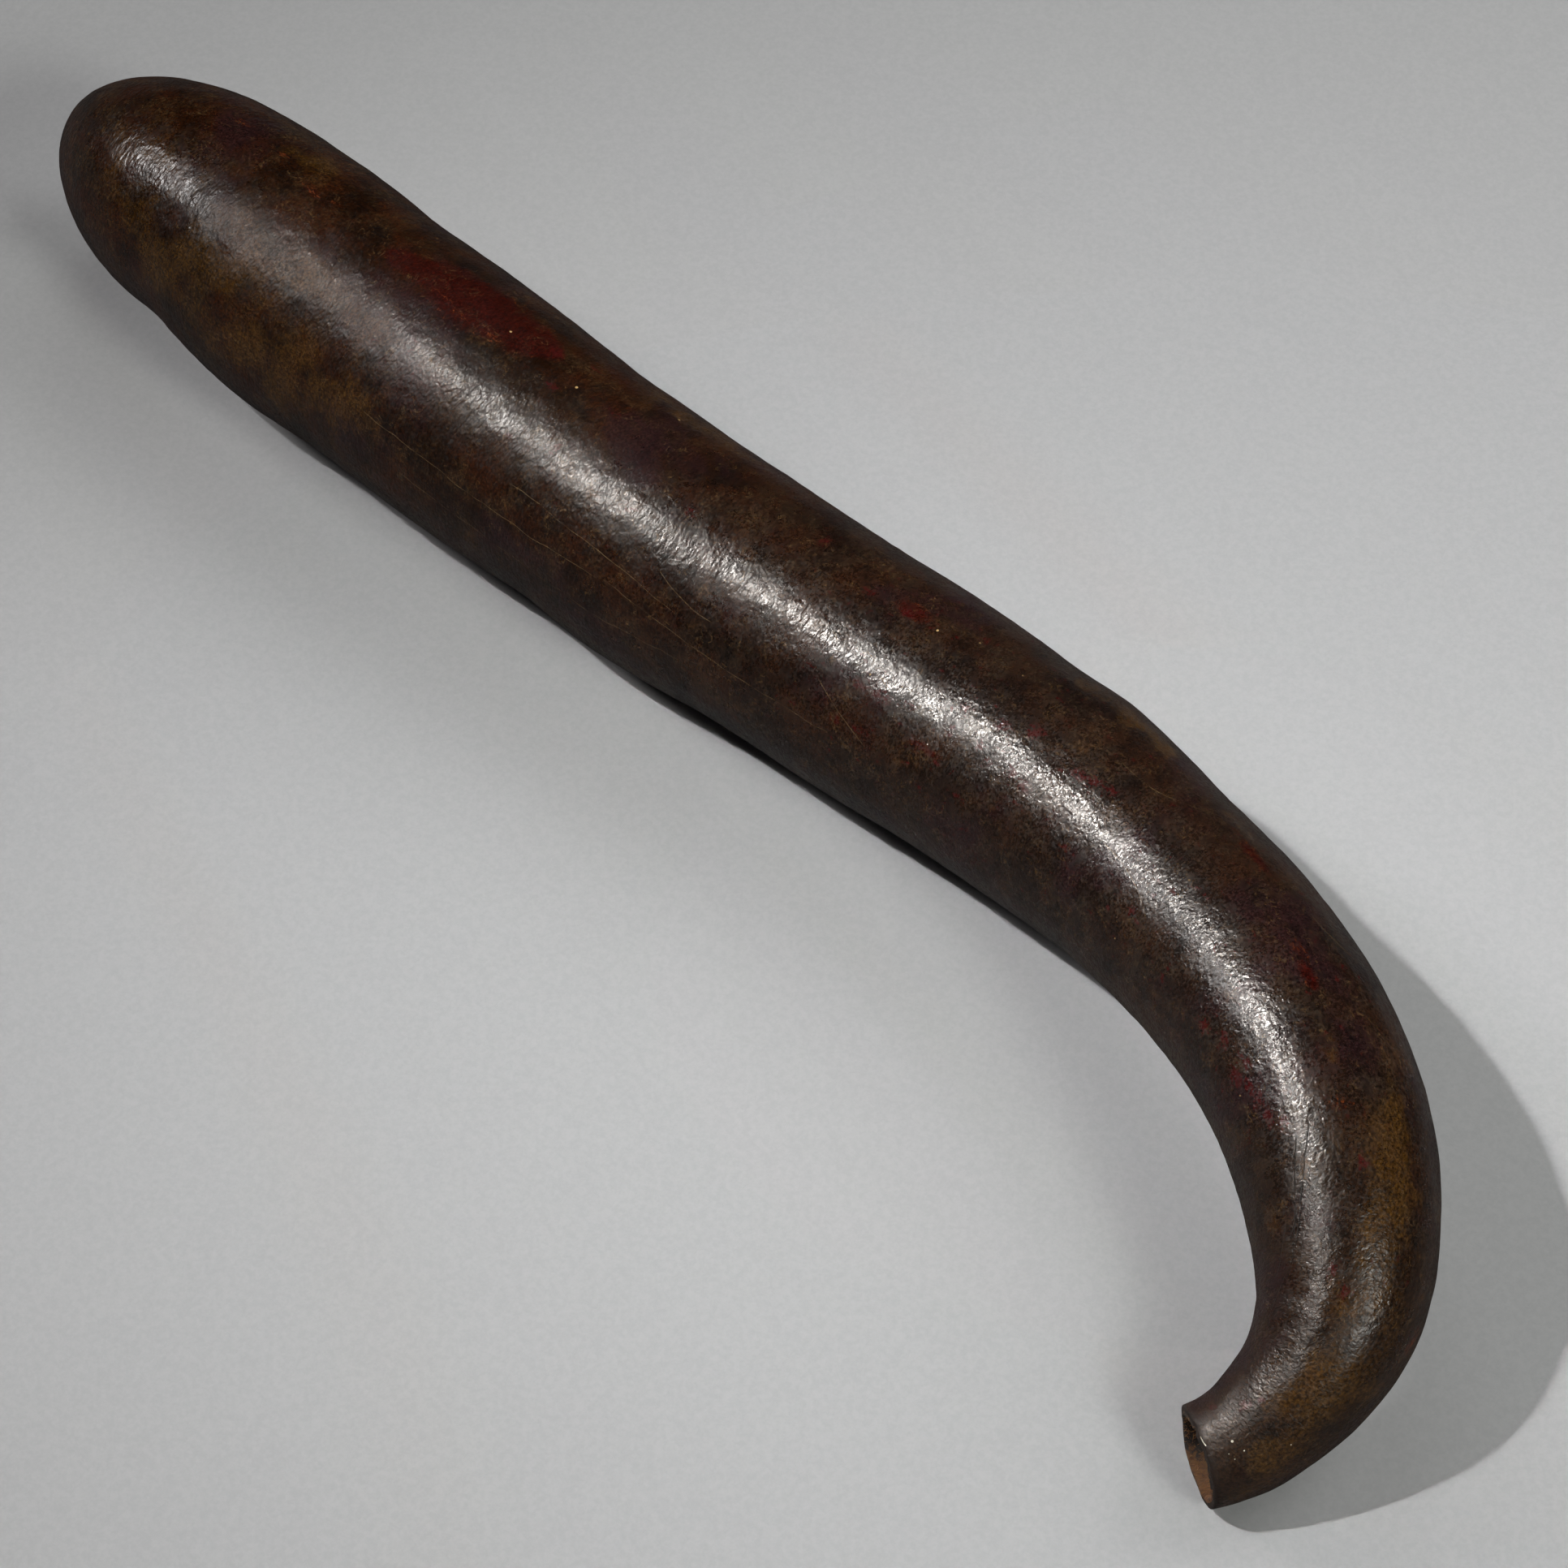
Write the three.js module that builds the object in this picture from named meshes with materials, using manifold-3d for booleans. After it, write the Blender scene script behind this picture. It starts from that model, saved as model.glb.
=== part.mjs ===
// Long hooked gourd, dried, hollowed out and cut open at the neck as a container.
// Millimetres, +Z up. The body lies along +X, and the neck arches and hooks round towards -Y.
import * as THREE from 'three';
import { mergeVertices } from 'three/addons/utils/BufferGeometryUtils.js';
import Module from 'manifold-3d';

// Stations on the centre line, one every STATION_STEP of its length.
// Each is [x, y, z, outer radius], and the first is the blossom tip.
const STATION_STEP = 50;
const STATIONS = [
  [-1.5, 9.5, 50, 43],
  [49.5, 7.5, 50, 47],
  [99.5, 5.5, 51.8, 51.2],
  [149, 1, 53.3, 53.8],
  [199, 0.5, 52.2, 52.2],
  [249, -1.5, 52.3, 51.9],
  [299, -1.5, 50.6, 50.2],
  [349, -2.5, 49.5, 50],
  [399, 0, 48.5, 48.2],
  [449, 1.5, 49.1, 47.5],
  [499, 2.5, 51.3, 46.2],
  [548.5, -0.5, 56, 45],
  [597.5, -8.5, 60.5, 41.4],
  [645.5, -21.5, 66, 40.2],
  [691, -41.5, 68.5, 38.7],
  [731, -69, 62, 35.7],
  [759, -105.5, 46, 29.1],
  [758, -149, 24.5, 21],
  [731, -185.5, 10.5, 16.5],
];

// Rounded blossom end.
const CAP_LENGTH = 76;
const CAP_POWER = 2.05;

// Cut mouth at the end of the neck. The cut leans, so the edge at SLANT_ANGLE is set back.
const MOUTH_AT = 872;
const MOUTH_SLANT = 5;
const SLANT_ANGLE = 28;
const SLANT_REACH = 40;
const RIM_ROUND = 0.9;

// Thickness of the dried rind.
const WALL_BODY = 5;
const WALL_MOUTH = 4.4;

// Facets round the body, and the spacing of the rings along it.
const SIDES = 28;
const OUTER_STEP_BODY = 27;
const OUTER_STEP_HOOK = 15;
const INNER_STEP_BODY = 36;
const INNER_STEP_HOOK = 20;
const HOOK_STARTS = 600;

// Shallow dents and low swellings that a grown skin has.
// Each is [distance along, angle round in degrees, depth, reach along, reach round in degrees].
// 0 degrees is the upper side and 90 the side towards +Y. A negative depth swells out.
const DENTS = [
  [177, 60, 1.2, 16, 45],
  [94, -120, 1.4, 16, 45],
  [300, 60, 0.8, 18, 40],
  [318, -120, 0.9, 22, 40],
  [410, -120, 1.1, 40, 40],
  [390, 60, -0.8, 40, 40],
  [470, 60, -0.7, 40, 35],
  [526, 60, 0.7, 16, 40],
  [552, 60, -0.6, 14, 40],
  [822, -54, 1.3, 14, 50],
];

// Depth of the floor block that trims the low spots flat.
const FLOOR_DEPTH = 30;

const spine = new THREE.CatmullRomCurve3(
  STATIONS.map(([x, y, z]) => new THREE.Vector3(x, y, z)),
  false,
  'catmullrom',
  0.5,
);
const radii = new THREE.CatmullRomCurve3(
  STATIONS.map((station, i) => new THREE.Vector3(i, station[3], 0)),
  false,
  'catmullrom',
  0.5,
);

/** Position on the centre line's own parameter, from a distance along it. */
function parameterAt(along) {
  return along / (STATION_STEP * (STATIONS.length - 1));
}

/** Outer radius at a distance along the centre line. */
function outerRadius(along) {
  const full = radii.getPoint(parameterAt(along)).y;
  if (along >= CAP_LENGTH) {
    return full;
  }
  const reach = Math.pow(1 - along / CAP_LENGTH, CAP_POWER);
  return full * Math.sqrt(Math.max(0, 1 - reach));
}

/** Wall thickness at a distance along the centre line. */
function wallAt(along) {
  return THREE.MathUtils.lerp(WALL_BODY, WALL_MOUTH, along / MOUTH_AT);
}

/** Distances from start to end in near-equal steps, both ends included. */
function steps(start, end, step) {
  const count = Math.max(1, Math.round(Math.abs(end - start) / step));
  return Array.from({ length: count + 1 }, (_, i) => start + ((end - start) * i) / count);
}

/** Closed half outline of the straightened gourd: outer skin, cut rim, inner skin. */
function halfOutline() {
  const outline = [new THREE.Vector2(0, 0)];
  const capRings = [0.012, 0.045, 0.1, 0.18, 0.29, 0.43, 0.6, 0.8].map((f) => f * CAP_LENGTH);
  const bodyRings = steps(CAP_LENGTH, HOOK_STARTS, OUTER_STEP_BODY);
  const hookRings = steps(HOOK_STARTS, MOUTH_AT - RIM_ROUND, OUTER_STEP_HOOK).slice(1);
  for (const along of [...capRings, ...bodyRings, ...hookRings]) {
    outline.push(new THREE.Vector2(outerRadius(along), along));
  }
  const rimOuter = outerRadius(MOUTH_AT);
  const rimInner = rimOuter - WALL_MOUTH;
  outline.push(new THREE.Vector2(rimOuter - RIM_ROUND, MOUTH_AT));
  outline.push(new THREE.Vector2(rimInner + RIM_ROUND, MOUTH_AT));
  const innerHook = steps(MOUTH_AT - RIM_ROUND, HOOK_STARTS, INNER_STEP_HOOK);
  const innerBody = steps(HOOK_STARTS, CAP_LENGTH, INNER_STEP_BODY).slice(1);
  const innerCap = [0.72, 0.48, 0.3, 0.18].map((f) => f * CAP_LENGTH);
  for (const along of [...innerHook, ...innerBody, ...innerCap]) {
    outline.push(new THREE.Vector2(outerRadius(along) - wallAt(along), along));
  }
  outline.push(new THREE.Vector2(0, WALL_BODY * 1.2));
  return outline;
}

/** Sum of the dents at one place on the skin. */
function dentAt(along, degrees) {
  let depth = 0;
  for (const [at, angle, deep, reachAlong, reachRound] of DENTS) {
    const turn = THREE.MathUtils.euclideanModulo(degrees - angle + 180, 360) - 180;
    depth += deep * Math.exp(-(((along - at) / reachAlong) ** 2) - (turn / reachRound) ** 2);
  }
  return depth;
}

/** Bends the straightened gourd on to its centre line. */
function bend(geometry) {
  const position = geometry.attributes.position;
  const up = new THREE.Vector3(0, 0, 1);
  const point = new THREE.Vector3();
  for (let i = 0; i < position.count; i += 1) {
    point.fromBufferAttribute(position, i);
    const radius = Math.hypot(point.x, point.z);
    const degrees = THREE.MathUtils.radToDeg(Math.atan2(-point.x, point.z));
    const slantShare = THREE.MathUtils.smoothstep(point.y, MOUTH_AT - SLANT_REACH, MOUTH_AT);
    const facing = Math.cos(THREE.MathUtils.degToRad(degrees - SLANT_ANGLE));
    const lean = (facing * radius) / outerRadius(MOUTH_AT);
    const along = point.y - MOUTH_SLANT * slantShare * lean;
    const t = parameterAt(along);
    const tangent = spine.getTangent(t);
    const side = new THREE.Vector3().crossVectors(up, tangent).normalize();
    const above = new THREE.Vector3().crossVectors(tangent, side);
    const scale = radius > 0 ? (radius - dentAt(along, degrees)) / radius : 1;
    const centre = spine.getPoint(t);
    centre.addScaledVector(side, -point.x * scale);
    centre.addScaledVector(above, point.z * scale);
    position.setXYZ(i, centre.x, centre.y, centre.z);
  }
}

/** Manifold solid from a closed three.js geometry. */
function toSolid(wasm, geometry) {
  geometry.deleteAttribute('normal');
  geometry.deleteAttribute('uv');
  const merged = mergeVertices(geometry, 1e-4);
  const index = merged.index.array;
  const triVerts = [];
  for (let i = 0; i < index.length; i += 3) {
    const [a, b, c] = [index[i], index[i + 1], index[i + 2]];
    if (a !== b && b !== c && c !== a) {
      triVerts.push(a, b, c);
    }
  }
  const mesh = new wasm.Mesh({
    numProp: 3,
    vertProperties: new Float32Array(merged.attributes.position.array),
    triVerts: new Uint32Array(triVerts),
  });
  return new wasm.Manifold(mesh);
}

/** three.js geometry from a manifold solid. */
function toGeometry(solid) {
  const mesh = solid.getMesh();
  const geometry = new THREE.BufferGeometry();
  geometry.setAttribute('position', new THREE.BufferAttribute(mesh.vertProperties, 3));
  geometry.setIndex(new THREE.BufferAttribute(mesh.triVerts, 1));
  return geometry;
}

const wasm = await Module();
wasm.setup();

// The gourd, closed at the blossom end and open at the mouth.
const gourd = new THREE.LatheGeometry(halfOutline(), SIDES);
bend(gourd);

// The low spots that it rests on are worn flat, so a block below the surface trims them.
const floorBlock = new THREE.BoxGeometry(1200, 800, FLOOR_DEPTH);
floorBlock.translate(400, 0, -FLOOR_DEPTH / 2);

const shell = toGeometry(toSolid(wasm, gourd).subtract(toSolid(wasm, floorBlock)));

// The origin is under the middle of the gourd, at the height of the surface it lies on.
shell.computeBoundingBox();
const box = shell.boundingBox;
shell.translate(-(box.min.x + box.max.x) / 2, -(box.min.y + box.max.y) / 2, -box.min.z);
shell.computeVertexNormals();

const skin = new THREE.MeshStandardMaterial({
  color: new THREE.Color(0.075, 0.03, 0.02),
  roughness: 0.3,
  metalness: 0,
});

const part = new THREE.Group();
part.name = 'gourd_container';
const gourdShell = new THREE.Mesh(shell, skin);
gourdShell.name = 'gourd_shell';
part.add(gourdShell);

export default part;
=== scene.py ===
"""A long hooked gourd, dried, hollowed through its neck and kept whole as a container.

Metres, +Z up. The body lies along +X on a pale floor, and the neck arches and hooks round
towards -Y. Every place on the skin is named by its distance along the gourd's centre line,
from the blossom tip to the mouth, and by its angle round that line, with 0 degrees on the
upper side and 90 degrees on the side towards +Y.
"""

import logging
import math
from dataclasses import dataclass, field
from enum import Enum

import bpy
import numpy as np
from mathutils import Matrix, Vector


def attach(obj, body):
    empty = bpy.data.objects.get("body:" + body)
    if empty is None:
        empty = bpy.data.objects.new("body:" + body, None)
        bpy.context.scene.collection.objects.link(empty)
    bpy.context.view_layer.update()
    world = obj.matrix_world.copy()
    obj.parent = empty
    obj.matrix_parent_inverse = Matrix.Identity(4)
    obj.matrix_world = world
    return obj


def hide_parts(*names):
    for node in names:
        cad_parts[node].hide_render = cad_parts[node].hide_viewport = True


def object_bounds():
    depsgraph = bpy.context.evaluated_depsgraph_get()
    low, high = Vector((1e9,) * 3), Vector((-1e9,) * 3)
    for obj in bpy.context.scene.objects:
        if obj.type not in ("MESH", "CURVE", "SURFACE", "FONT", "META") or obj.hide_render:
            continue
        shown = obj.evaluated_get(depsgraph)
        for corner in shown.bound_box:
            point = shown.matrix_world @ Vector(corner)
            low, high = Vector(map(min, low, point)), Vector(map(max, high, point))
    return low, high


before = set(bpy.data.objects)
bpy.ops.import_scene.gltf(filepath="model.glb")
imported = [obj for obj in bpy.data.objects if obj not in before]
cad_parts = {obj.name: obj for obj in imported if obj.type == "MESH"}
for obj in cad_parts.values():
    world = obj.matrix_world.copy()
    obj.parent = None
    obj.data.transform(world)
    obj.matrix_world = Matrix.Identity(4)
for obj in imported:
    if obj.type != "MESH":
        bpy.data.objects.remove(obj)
CAD_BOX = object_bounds()

LOG = logging.getLogger("gourd")
# The place on the floor that the camera and most of the lamps look at.
MIDDLE = (0.0428, 0.0286, 0.0)
NODE = "gourd_shell"
BODY = "root"
MM = 0.001
# How far one seed moves a pattern from the next, in metres.
SEED_STEP = (0.037, 0.061, 0.083)
# How far apart the seeds of two layers of relief are.
SEED_GAP = 10.0

Triple = tuple[float, float, float]
Colour = Triple
Socket = bpy.types.NodeSocket
Sockets = bpy.types.bpy_prop_collection
Feed = float | tuple | str | bpy.types.Material | Socket


# Node benches


def opaque(colour: Colour) -> tuple[float, float, float, float]:
    """The colour with full cover, as a node's colour socket wants it."""
    return (*colour, 1.0)


class Bench:
    """Lays nodes into one tree and wires them together."""

    def __init__(self, tree: bpy.types.NodeTree) -> None:
        """Keeps the tree that the nodes go into."""
        self.tree = tree

    def feed(self, socket: Socket, value: Feed) -> None:
        """Wires a socket into another one, or sets its value.

        Args:
            socket: The input to fill.
            value: An output socket, or a plain value.
        """
        if isinstance(value, Socket):
            self.tree.links.new(value, socket)
        else:
            socket.default_value = value

    def put(self, kind: str, feeds: dict[str | int, Feed] | None = None, **settings: object) -> bpy.types.Node:
        """Adds one node.

        Args:
            kind: Blender's name for the node.
            feeds: What goes into its inputs, by name or number.
            **settings: The node's own settings.

        Returns:
            The new node.
        """
        node = self.tree.nodes.new(kind)
        for name, value in settings.items():
            setattr(node, name, value)
        for key, value in (feeds or {}).items():
            self.feed(node.inputs[key], value)
        return node

    def math(self, operation: str, *values: Feed, clamp: bool = False) -> Socket:
        """One sum on numbers.

        Args:
            operation: Blender's name for the sum.
            *values: Its numbers or sockets, in order.
            clamp: Whether the result is kept between 0 and 1.

        Returns:
            The result's socket.
        """
        feeds = dict(enumerate(values))
        return self.put("ShaderNodeMath", feeds, operation=operation, use_clamp=clamp).outputs[0]

    def plus(self, first: Feed, second: Feed) -> Socket:
        """Two numbers added."""
        return self.math("ADD", first, second)

    def minus(self, first: Feed, second: Feed) -> Socket:
        """The second number taken from the first."""
        return self.math("SUBTRACT", first, second)

    def times(self, first: Feed, second: Feed) -> Socket:
        """Two numbers multiplied."""
        return self.math("MULTIPLY", first, second)

    def swung(self, value: Feed, reach: Feed) -> Socket:
        """A value round 0.5, moved to lie round 0 and made reach times as strong."""
        return self.times(self.minus(value, 0.5), reach)

    def stretch(self, vector: Feed, scale: Triple) -> Socket:
        """Scales a vector, each axis by its own factor."""
        return self.put("ShaderNodeVectorMath", {0: vector, 1: scale}, operation="MULTIPLY").outputs[0]

    def ramp(self, value: Feed, low: Feed, high: Feed, start: float = 0.0, end: float = 1.0) -> Socket:
        """A smooth step from one level to another.

        Args:
            value: What is measured.
            low: Where the step begins.
            high: Where it ends.
            start: The result below low.
            end: The result above high.

        Returns:
            The result's socket.
        """
        feeds = {"Value": value, "From Min": low, "From Max": high, "To Min": start, "To Max": end}
        return self.put("ShaderNodeMapRange", feeds, interpolation_type="SMOOTHSTEP").outputs["Result"]

    def fade(self, value: Feed, low: Feed, high: Feed) -> Socket:
        """A smooth step down from 1 to 0."""
        return self.ramp(value, low, high, 1.0, 0.0)

    def noise(self, vector: Feed, scale: Feed, detail: float, rough: Feed, seed: Feed = 0.0,
              warp: float = 0.0) -> Socket:
        """Grown, cloudy unevenness.

        Args:
            vector: Where it is measured.
            scale: How many clouds there are to a metre.
            detail: How many finer layers it has.
            rough: How strong the finer layers are.
            seed: Which pattern it is.
            warp: How far the clouds are pushed out of shape.

        Returns:
            The socket of a value round 0.5.
        """
        pattern = seed if isinstance(seed, Socket) else (seed, seed, seed)
        moved = self.put("ShaderNodeVectorMath", {
            0: pattern, 1: SEED_STEP, 2: vector}, operation="MULTIPLY_ADD")
        feeds = {"Vector": moved.outputs[0], "Scale": scale, "Detail": detail, "Roughness": rough,
                 "Distortion": warp}
        return self.put("ShaderNodeTexNoise", feeds).outputs["Fac"]

    def tint(self, share: Feed, under: Feed, over: Feed, blend: str = "MIX") -> Socket:
        """Lays one colour over another.

        Args:
            share: How much of the upper colour shows.
            under: The lower colour.
            over: The upper colour.
            blend: How the two meet.

        Returns:
            The mixed colour's socket.
        """
        feeds = {0: share, 6: under, 7: over}
        return self.put("ShaderNodeMix", feeds, data_type="RGBA", blend_type=blend).outputs[2]

    def named(self, attribute: str, output: str = "Fac") -> Socket:
        """A value that the mesh carries, as one of the attribute node's outputs."""
        return self.put("ShaderNodeAttribute", attribute_name=attribute).outputs[output]

    def bump(self, height: Socket) -> Socket:
        """The normal that a height in millimetres gives."""
        return self.put("ShaderNodeBump", {"Strength": 1.0, "Distance": MM, "Height": height}).outputs[0]

    def shade(self, feeds: dict[str | int, Feed]) -> None:
        """Ends a material in the Principled shader.

        Args:
            feeds: What goes into the shader's inputs.
        """
        shader = self.put("ShaderNodeBsdfPrincipled", feeds)
        self.put("ShaderNodeOutputMaterial", {"Surface": shader.outputs[0]})


def blank_material(name: str) -> tuple[bpy.types.Material, Bench]:
    """An empty material.

    Args:
        name: The material's name.

    Returns:
        The material and a bench on its nodes.
    """
    made = bpy.data.materials.new(name)
    made.use_nodes = True
    made.node_tree.nodes.clear()
    return made, Bench(made.node_tree)


def shader_group(name: str, place: str, numbers: dict[str, float], mask: str) -> tuple[
        bpy.types.NodeTree, Bench, Sockets, Socket]:
    """An empty shader group that takes a place and some numbers and gives one mask.

    Args:
        name: The group's name.
        place: The name of its vector input.
        numbers: Each number's first value, by name.
        mask: The name of its output.

    Returns:
        The tree, a bench on it, what it is given and the socket that its mask goes into.
    """
    tree = bpy.data.node_groups.new(name, "ShaderNodeTree")
    tree.interface.new_socket(place, in_out="INPUT", socket_type="NodeSocketVector")
    for label, value in numbers.items():
        socket = tree.interface.new_socket(label, in_out="INPUT", socket_type="NodeSocketFloat")
        socket.default_value = value
    tree.interface.new_socket(mask, in_out="OUTPUT", socket_type="NodeSocketFloat")
    bench = Bench(tree)
    return tree, bench, bench.put("NodeGroupInput").outputs, bench.put("NodeGroupOutput").inputs[0]


class Effects:
    """The shader groups that the finishes share, each built once."""

    def __init__(self) -> None:
        """Builds every group."""
        self.clouds = self._clouds()
        self.hairs = self._hairs()
        self.hairline = self._hairline()
        self.specks = self._specks()
        self.dot = self._dot()

    @staticmethod
    def _clouds() -> bpy.types.NodeTree:
        """Soft-edged clouds of one colour in another.

        Returns:
            The group.
        """
        tree, bench, given, mask = shader_group("soft clouds", "Place", {
            "Clouds per metre": 30.0, "Raggedness": 0.6, "Starts": 0.4, "Full": 0.6, "Seed": 0.0}, "Cover")
        source = bench.noise(given["Place"], given["Clouds per metre"], detail=5.0, rough=given["Raggedness"],
                             seed=given["Seed"], warp=0.25)
        bench.feed(mask, bench.ramp(source, given["Starts"], given["Full"]))
        return tree

    @staticmethod
    def _hairs() -> bpy.types.NodeTree:
        """Fine curling hairs and fibres: the contour lines of a warped cloud, broken up.

        Returns:
            The group.
        """
        tree, bench, given, mask = shader_group("fine hairs", "Place", {
            "Hairs per metre": 200.0, "Thickness": 0.02, "Sparseness": 0.5, "Seed": 0.0}, "Hair")
        lines = bench.noise(given["Place"], given["Hairs per metre"], detail=2.0, rough=0.5, seed=given["Seed"],
                            warp=0.9)
        hair = bench.fade(bench.math("ABSOLUTE", bench.minus(lines, 0.5)), 0.0, given["Thickness"])
        patches = bench.times(given["Hairs per metre"], 0.6)
        present = bench.noise(
            given["Place"], patches, detail=2.0, rough=0.6, seed=bench.plus(given["Seed"], 7.3))
        shown = bench.ramp(present, given["Sparseness"], bench.plus(given["Sparseness"], 0.1))
        bench.feed(mask, bench.times(hair, shown))
        return tree

    @staticmethod
    def _hairline() -> bpy.types.NodeTree:
        """One long scratch or crack from a point, at an angle, on the flattened skin.

        Returns:
            The group.
        """
        tree, bench, given, mask = shader_group("hairline", "Skin", {
            "Along": 0.0, "Across": 0.0, "Turn": 0.0, "Length": 0.05, "Width": 0.0004, "Wander": 0.001,
            "Bow": 0.0, "Wobble": 0.5, "Breaks": 1.0}, "Line")
        start = bench.put("ShaderNodeCombineXYZ", {0: given["Along"], 1: given["Across"]}).outputs[0]
        moved = bench.put("ShaderNodeVectorMath", {0: given["Skin"], 1: start}, operation="SUBTRACT").outputs[0]
        back = bench.times(given["Turn"], -1.0)
        turned = bench.put("ShaderNodeVectorRotate", {"Vector": moved, "Angle": back},
                           rotation_type="Z_AXIS").outputs[0]
        parts = bench.put("ShaderNodeSeparateXYZ", {0: turned})
        share = bench.math("DIVIDE", parts.outputs["X"], given["Length"])
        wander = bench.times(bench.minus(given["Wobble"], 0.5), bench.times(given["Wander"], 2.0))
        arch = bench.times(bench.times(share, bench.minus(1.0, share)), bench.times(given["Bow"], 4.0))
        off = bench.math("ABSOLUTE", bench.plus(bench.plus(parts.outputs["Y"], wander), arch))
        line = bench.times(bench.fade(off, 0.0, given["Width"]), given["Breaks"])
        ends = bench.times(bench.ramp(share, 0.0, 0.05), bench.fade(share, 0.92, 1.0))
        bench.feed(mask, bench.times(line, ends))
        return tree

    @staticmethod
    def _specks() -> bpy.types.NodeTree:
        """Small scattered specks with ragged edges.

        Returns:
            The group.
        """
        tree, bench, given, mask = shader_group("scattered specks", "Place", {
            "Cells per metre": 70.0, "Size": 0.1, "Rarity": 0.7, "Raggedness": 0.15, "Offset": 0.0}, "Speck")
        shift = bench.put("ShaderNodeVectorMath", {0: given["Place"], 1: given["Offset"]},
                          operation="ADD").outputs[0]
        cells = bench.put("ShaderNodeTexVoronoi", {
            "Vector": shift, "Scale": given["Cells per metre"], "Randomness": 1.0})
        tone = bench.put("ShaderNodeSeparateColor", {0: cells.outputs["Color"]})
        finer = bench.times(given["Cells per metre"], 7.0)
        ragged = bench.swung(bench.noise(shift, finer, detail=3.0, rough=0.6), given["Raggedness"])
        reach = bench.times(given["Size"], bench.plus(tone.outputs["Green"], 0.35))
        speck = bench.fade(bench.plus(cells.outputs["Distance"], ragged), bench.times(reach, 0.65), reach)
        chosen = bench.math("GREATER_THAN", tone.outputs["Red"], given["Rarity"])
        bench.feed(mask, bench.times(speck, chosen))
        return tree

    @staticmethod
    def _dot() -> bpy.types.NodeTree:
        """One small round dot on the flattened skin.

        Returns:
            The group.
        """
        tree, bench, given, mask = shader_group(
            "dot", "Skin", {"Along": 0.0, "Across": 0.0, "Size": 0.0005}, "Dot")
        middle = bench.put("ShaderNodeCombineXYZ", {0: given["Along"], 1: given["Across"]}).outputs[0]
        gap = bench.put("ShaderNodeVectorMath", {
            0: given["Skin"], 1: middle}, operation="DISTANCE").outputs["Value"]
        bench.feed(mask, bench.fade(gap, bench.times(given["Size"], 0.7), given["Size"]))
        return tree


def use_group(bench: Bench, tree: bpy.types.NodeTree, **values: Feed) -> Socket:
    """Places a shared effect in a material.

    Args:
        bench: The material's bench.
        tree: The effect's group.
        **values: Its inputs, with _ for each space in a name.

    Returns:
        The effect's first output.
    """
    node = bench.put("ShaderNodeGroup", node_tree=tree)
    for label, value in values.items():
        bench.feed(node.inputs[label.replace("_", " ")], value)
    return node.outputs[0]


@dataclass(frozen=True)
class Pattern:
    """A grown pattern, and the step that makes a mask of it."""

    per_metre: float
    layers: float
    strength: float
    seed: float
    warp: float = 0.0
    starts: float = 0.0
    full: float = 1.0
    least: float = 0.0
    most: float = 1.0

    def value(self, bench: Bench, place: Feed) -> Socket:
        """The pattern itself, round 0.5."""
        return bench.noise(place, self.per_metre, self.layers, self.strength, self.seed, self.warp)

    def mask(self, bench: Bench, place: Feed) -> Socket:
        """The pattern as a mask."""
        return bench.ramp(self.value(bench, place), self.starts, self.full, self.least, self.most)


@dataclass(frozen=True)
class Clouds:
    """Soft-edged clouds, from the shared effect."""

    per_metre: float
    raggedness: float
    starts: float
    full: float
    seed: float

    def cover(self, bench: Bench, effects: Effects, place: Feed) -> Socket:
        """Where the clouds lie."""
        return use_group(bench, effects.clouds, Place=place, Clouds_per_metre=self.per_metre,
                         Raggedness=self.raggedness, Starts=self.starts, Full=self.full, Seed=self.seed)


@dataclass(frozen=True)
class Hairs:
    """Fine hairs and fibres, from the shared effect."""

    per_metre: float
    thickness: float
    sparseness: float
    seed: float

    def cover(self, bench: Bench, effects: Effects, place: Feed) -> Socket:
        """Where the hairs lie."""
        return use_group(bench, effects.hairs, Place=place, Hairs_per_metre=self.per_metre,
                         Thickness=self.thickness, Sparseness=self.sparseness, Seed=self.seed)


# The grown form


def through_stations(values: np.ndarray, at: np.ndarray) -> tuple[np.ndarray, np.ndarray]:
    """A smooth Catmull-Rom line through evenly spaced stations.

    Args:
        values: One row for each station.
        at: Where to read the line, counted in stations.

    Returns:
        The line's value and its slope at each place.
    """
    slopes = np.empty_like(values)
    slopes[1:-1] = (values[2:] - values[:-2]) / 2
    slopes[0] = values[1] - values[0]
    slopes[-1] = values[-1] - values[-2]
    start = np.clip(np.floor(at).astype(int), 0, len(values) - 2)
    way = (at - start)[..., None]
    before, after = values[start], values[start + 1]
    slope_before, slope_after = slopes[start], slopes[start + 1]
    value = ((2 * way**3 - 3 * way**2 + 1) * before + (way**3 - 2 * way**2 + way) * slope_before
             + (3 * way**2 - 2 * way**3) * after + (way**3 - way**2) * slope_after)
    slope = ((6 * way**2 - 6 * way) * (before - after) + (3 * way**2 - 4 * way + 1) * slope_before
             + (3 * way**2 - 2 * way) * slope_after)
    return value, slope


def smooth_step(value: np.ndarray, low: float, high: float) -> np.ndarray:
    """A smooth step from 0 at low to 1 at high."""
    share = np.clip((value - low) / (high - low), 0.0, 1.0)
    return share * share * (3 - 2 * share)


def turn_between(degrees: np.ndarray, angle: float) -> np.ndarray:
    """The signed turn from an angle, between -180 and 180 degrees."""
    return (degrees - angle + 180.0) % 360.0 - 180.0


@dataclass(frozen=True)
class Dent:
    """A shallow hollow of the skin, or a low swelling where its depth is negative. Millimetres and degrees."""

    along: float
    degrees: float
    depth: float
    reach_along: float
    reach_round: float


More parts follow.
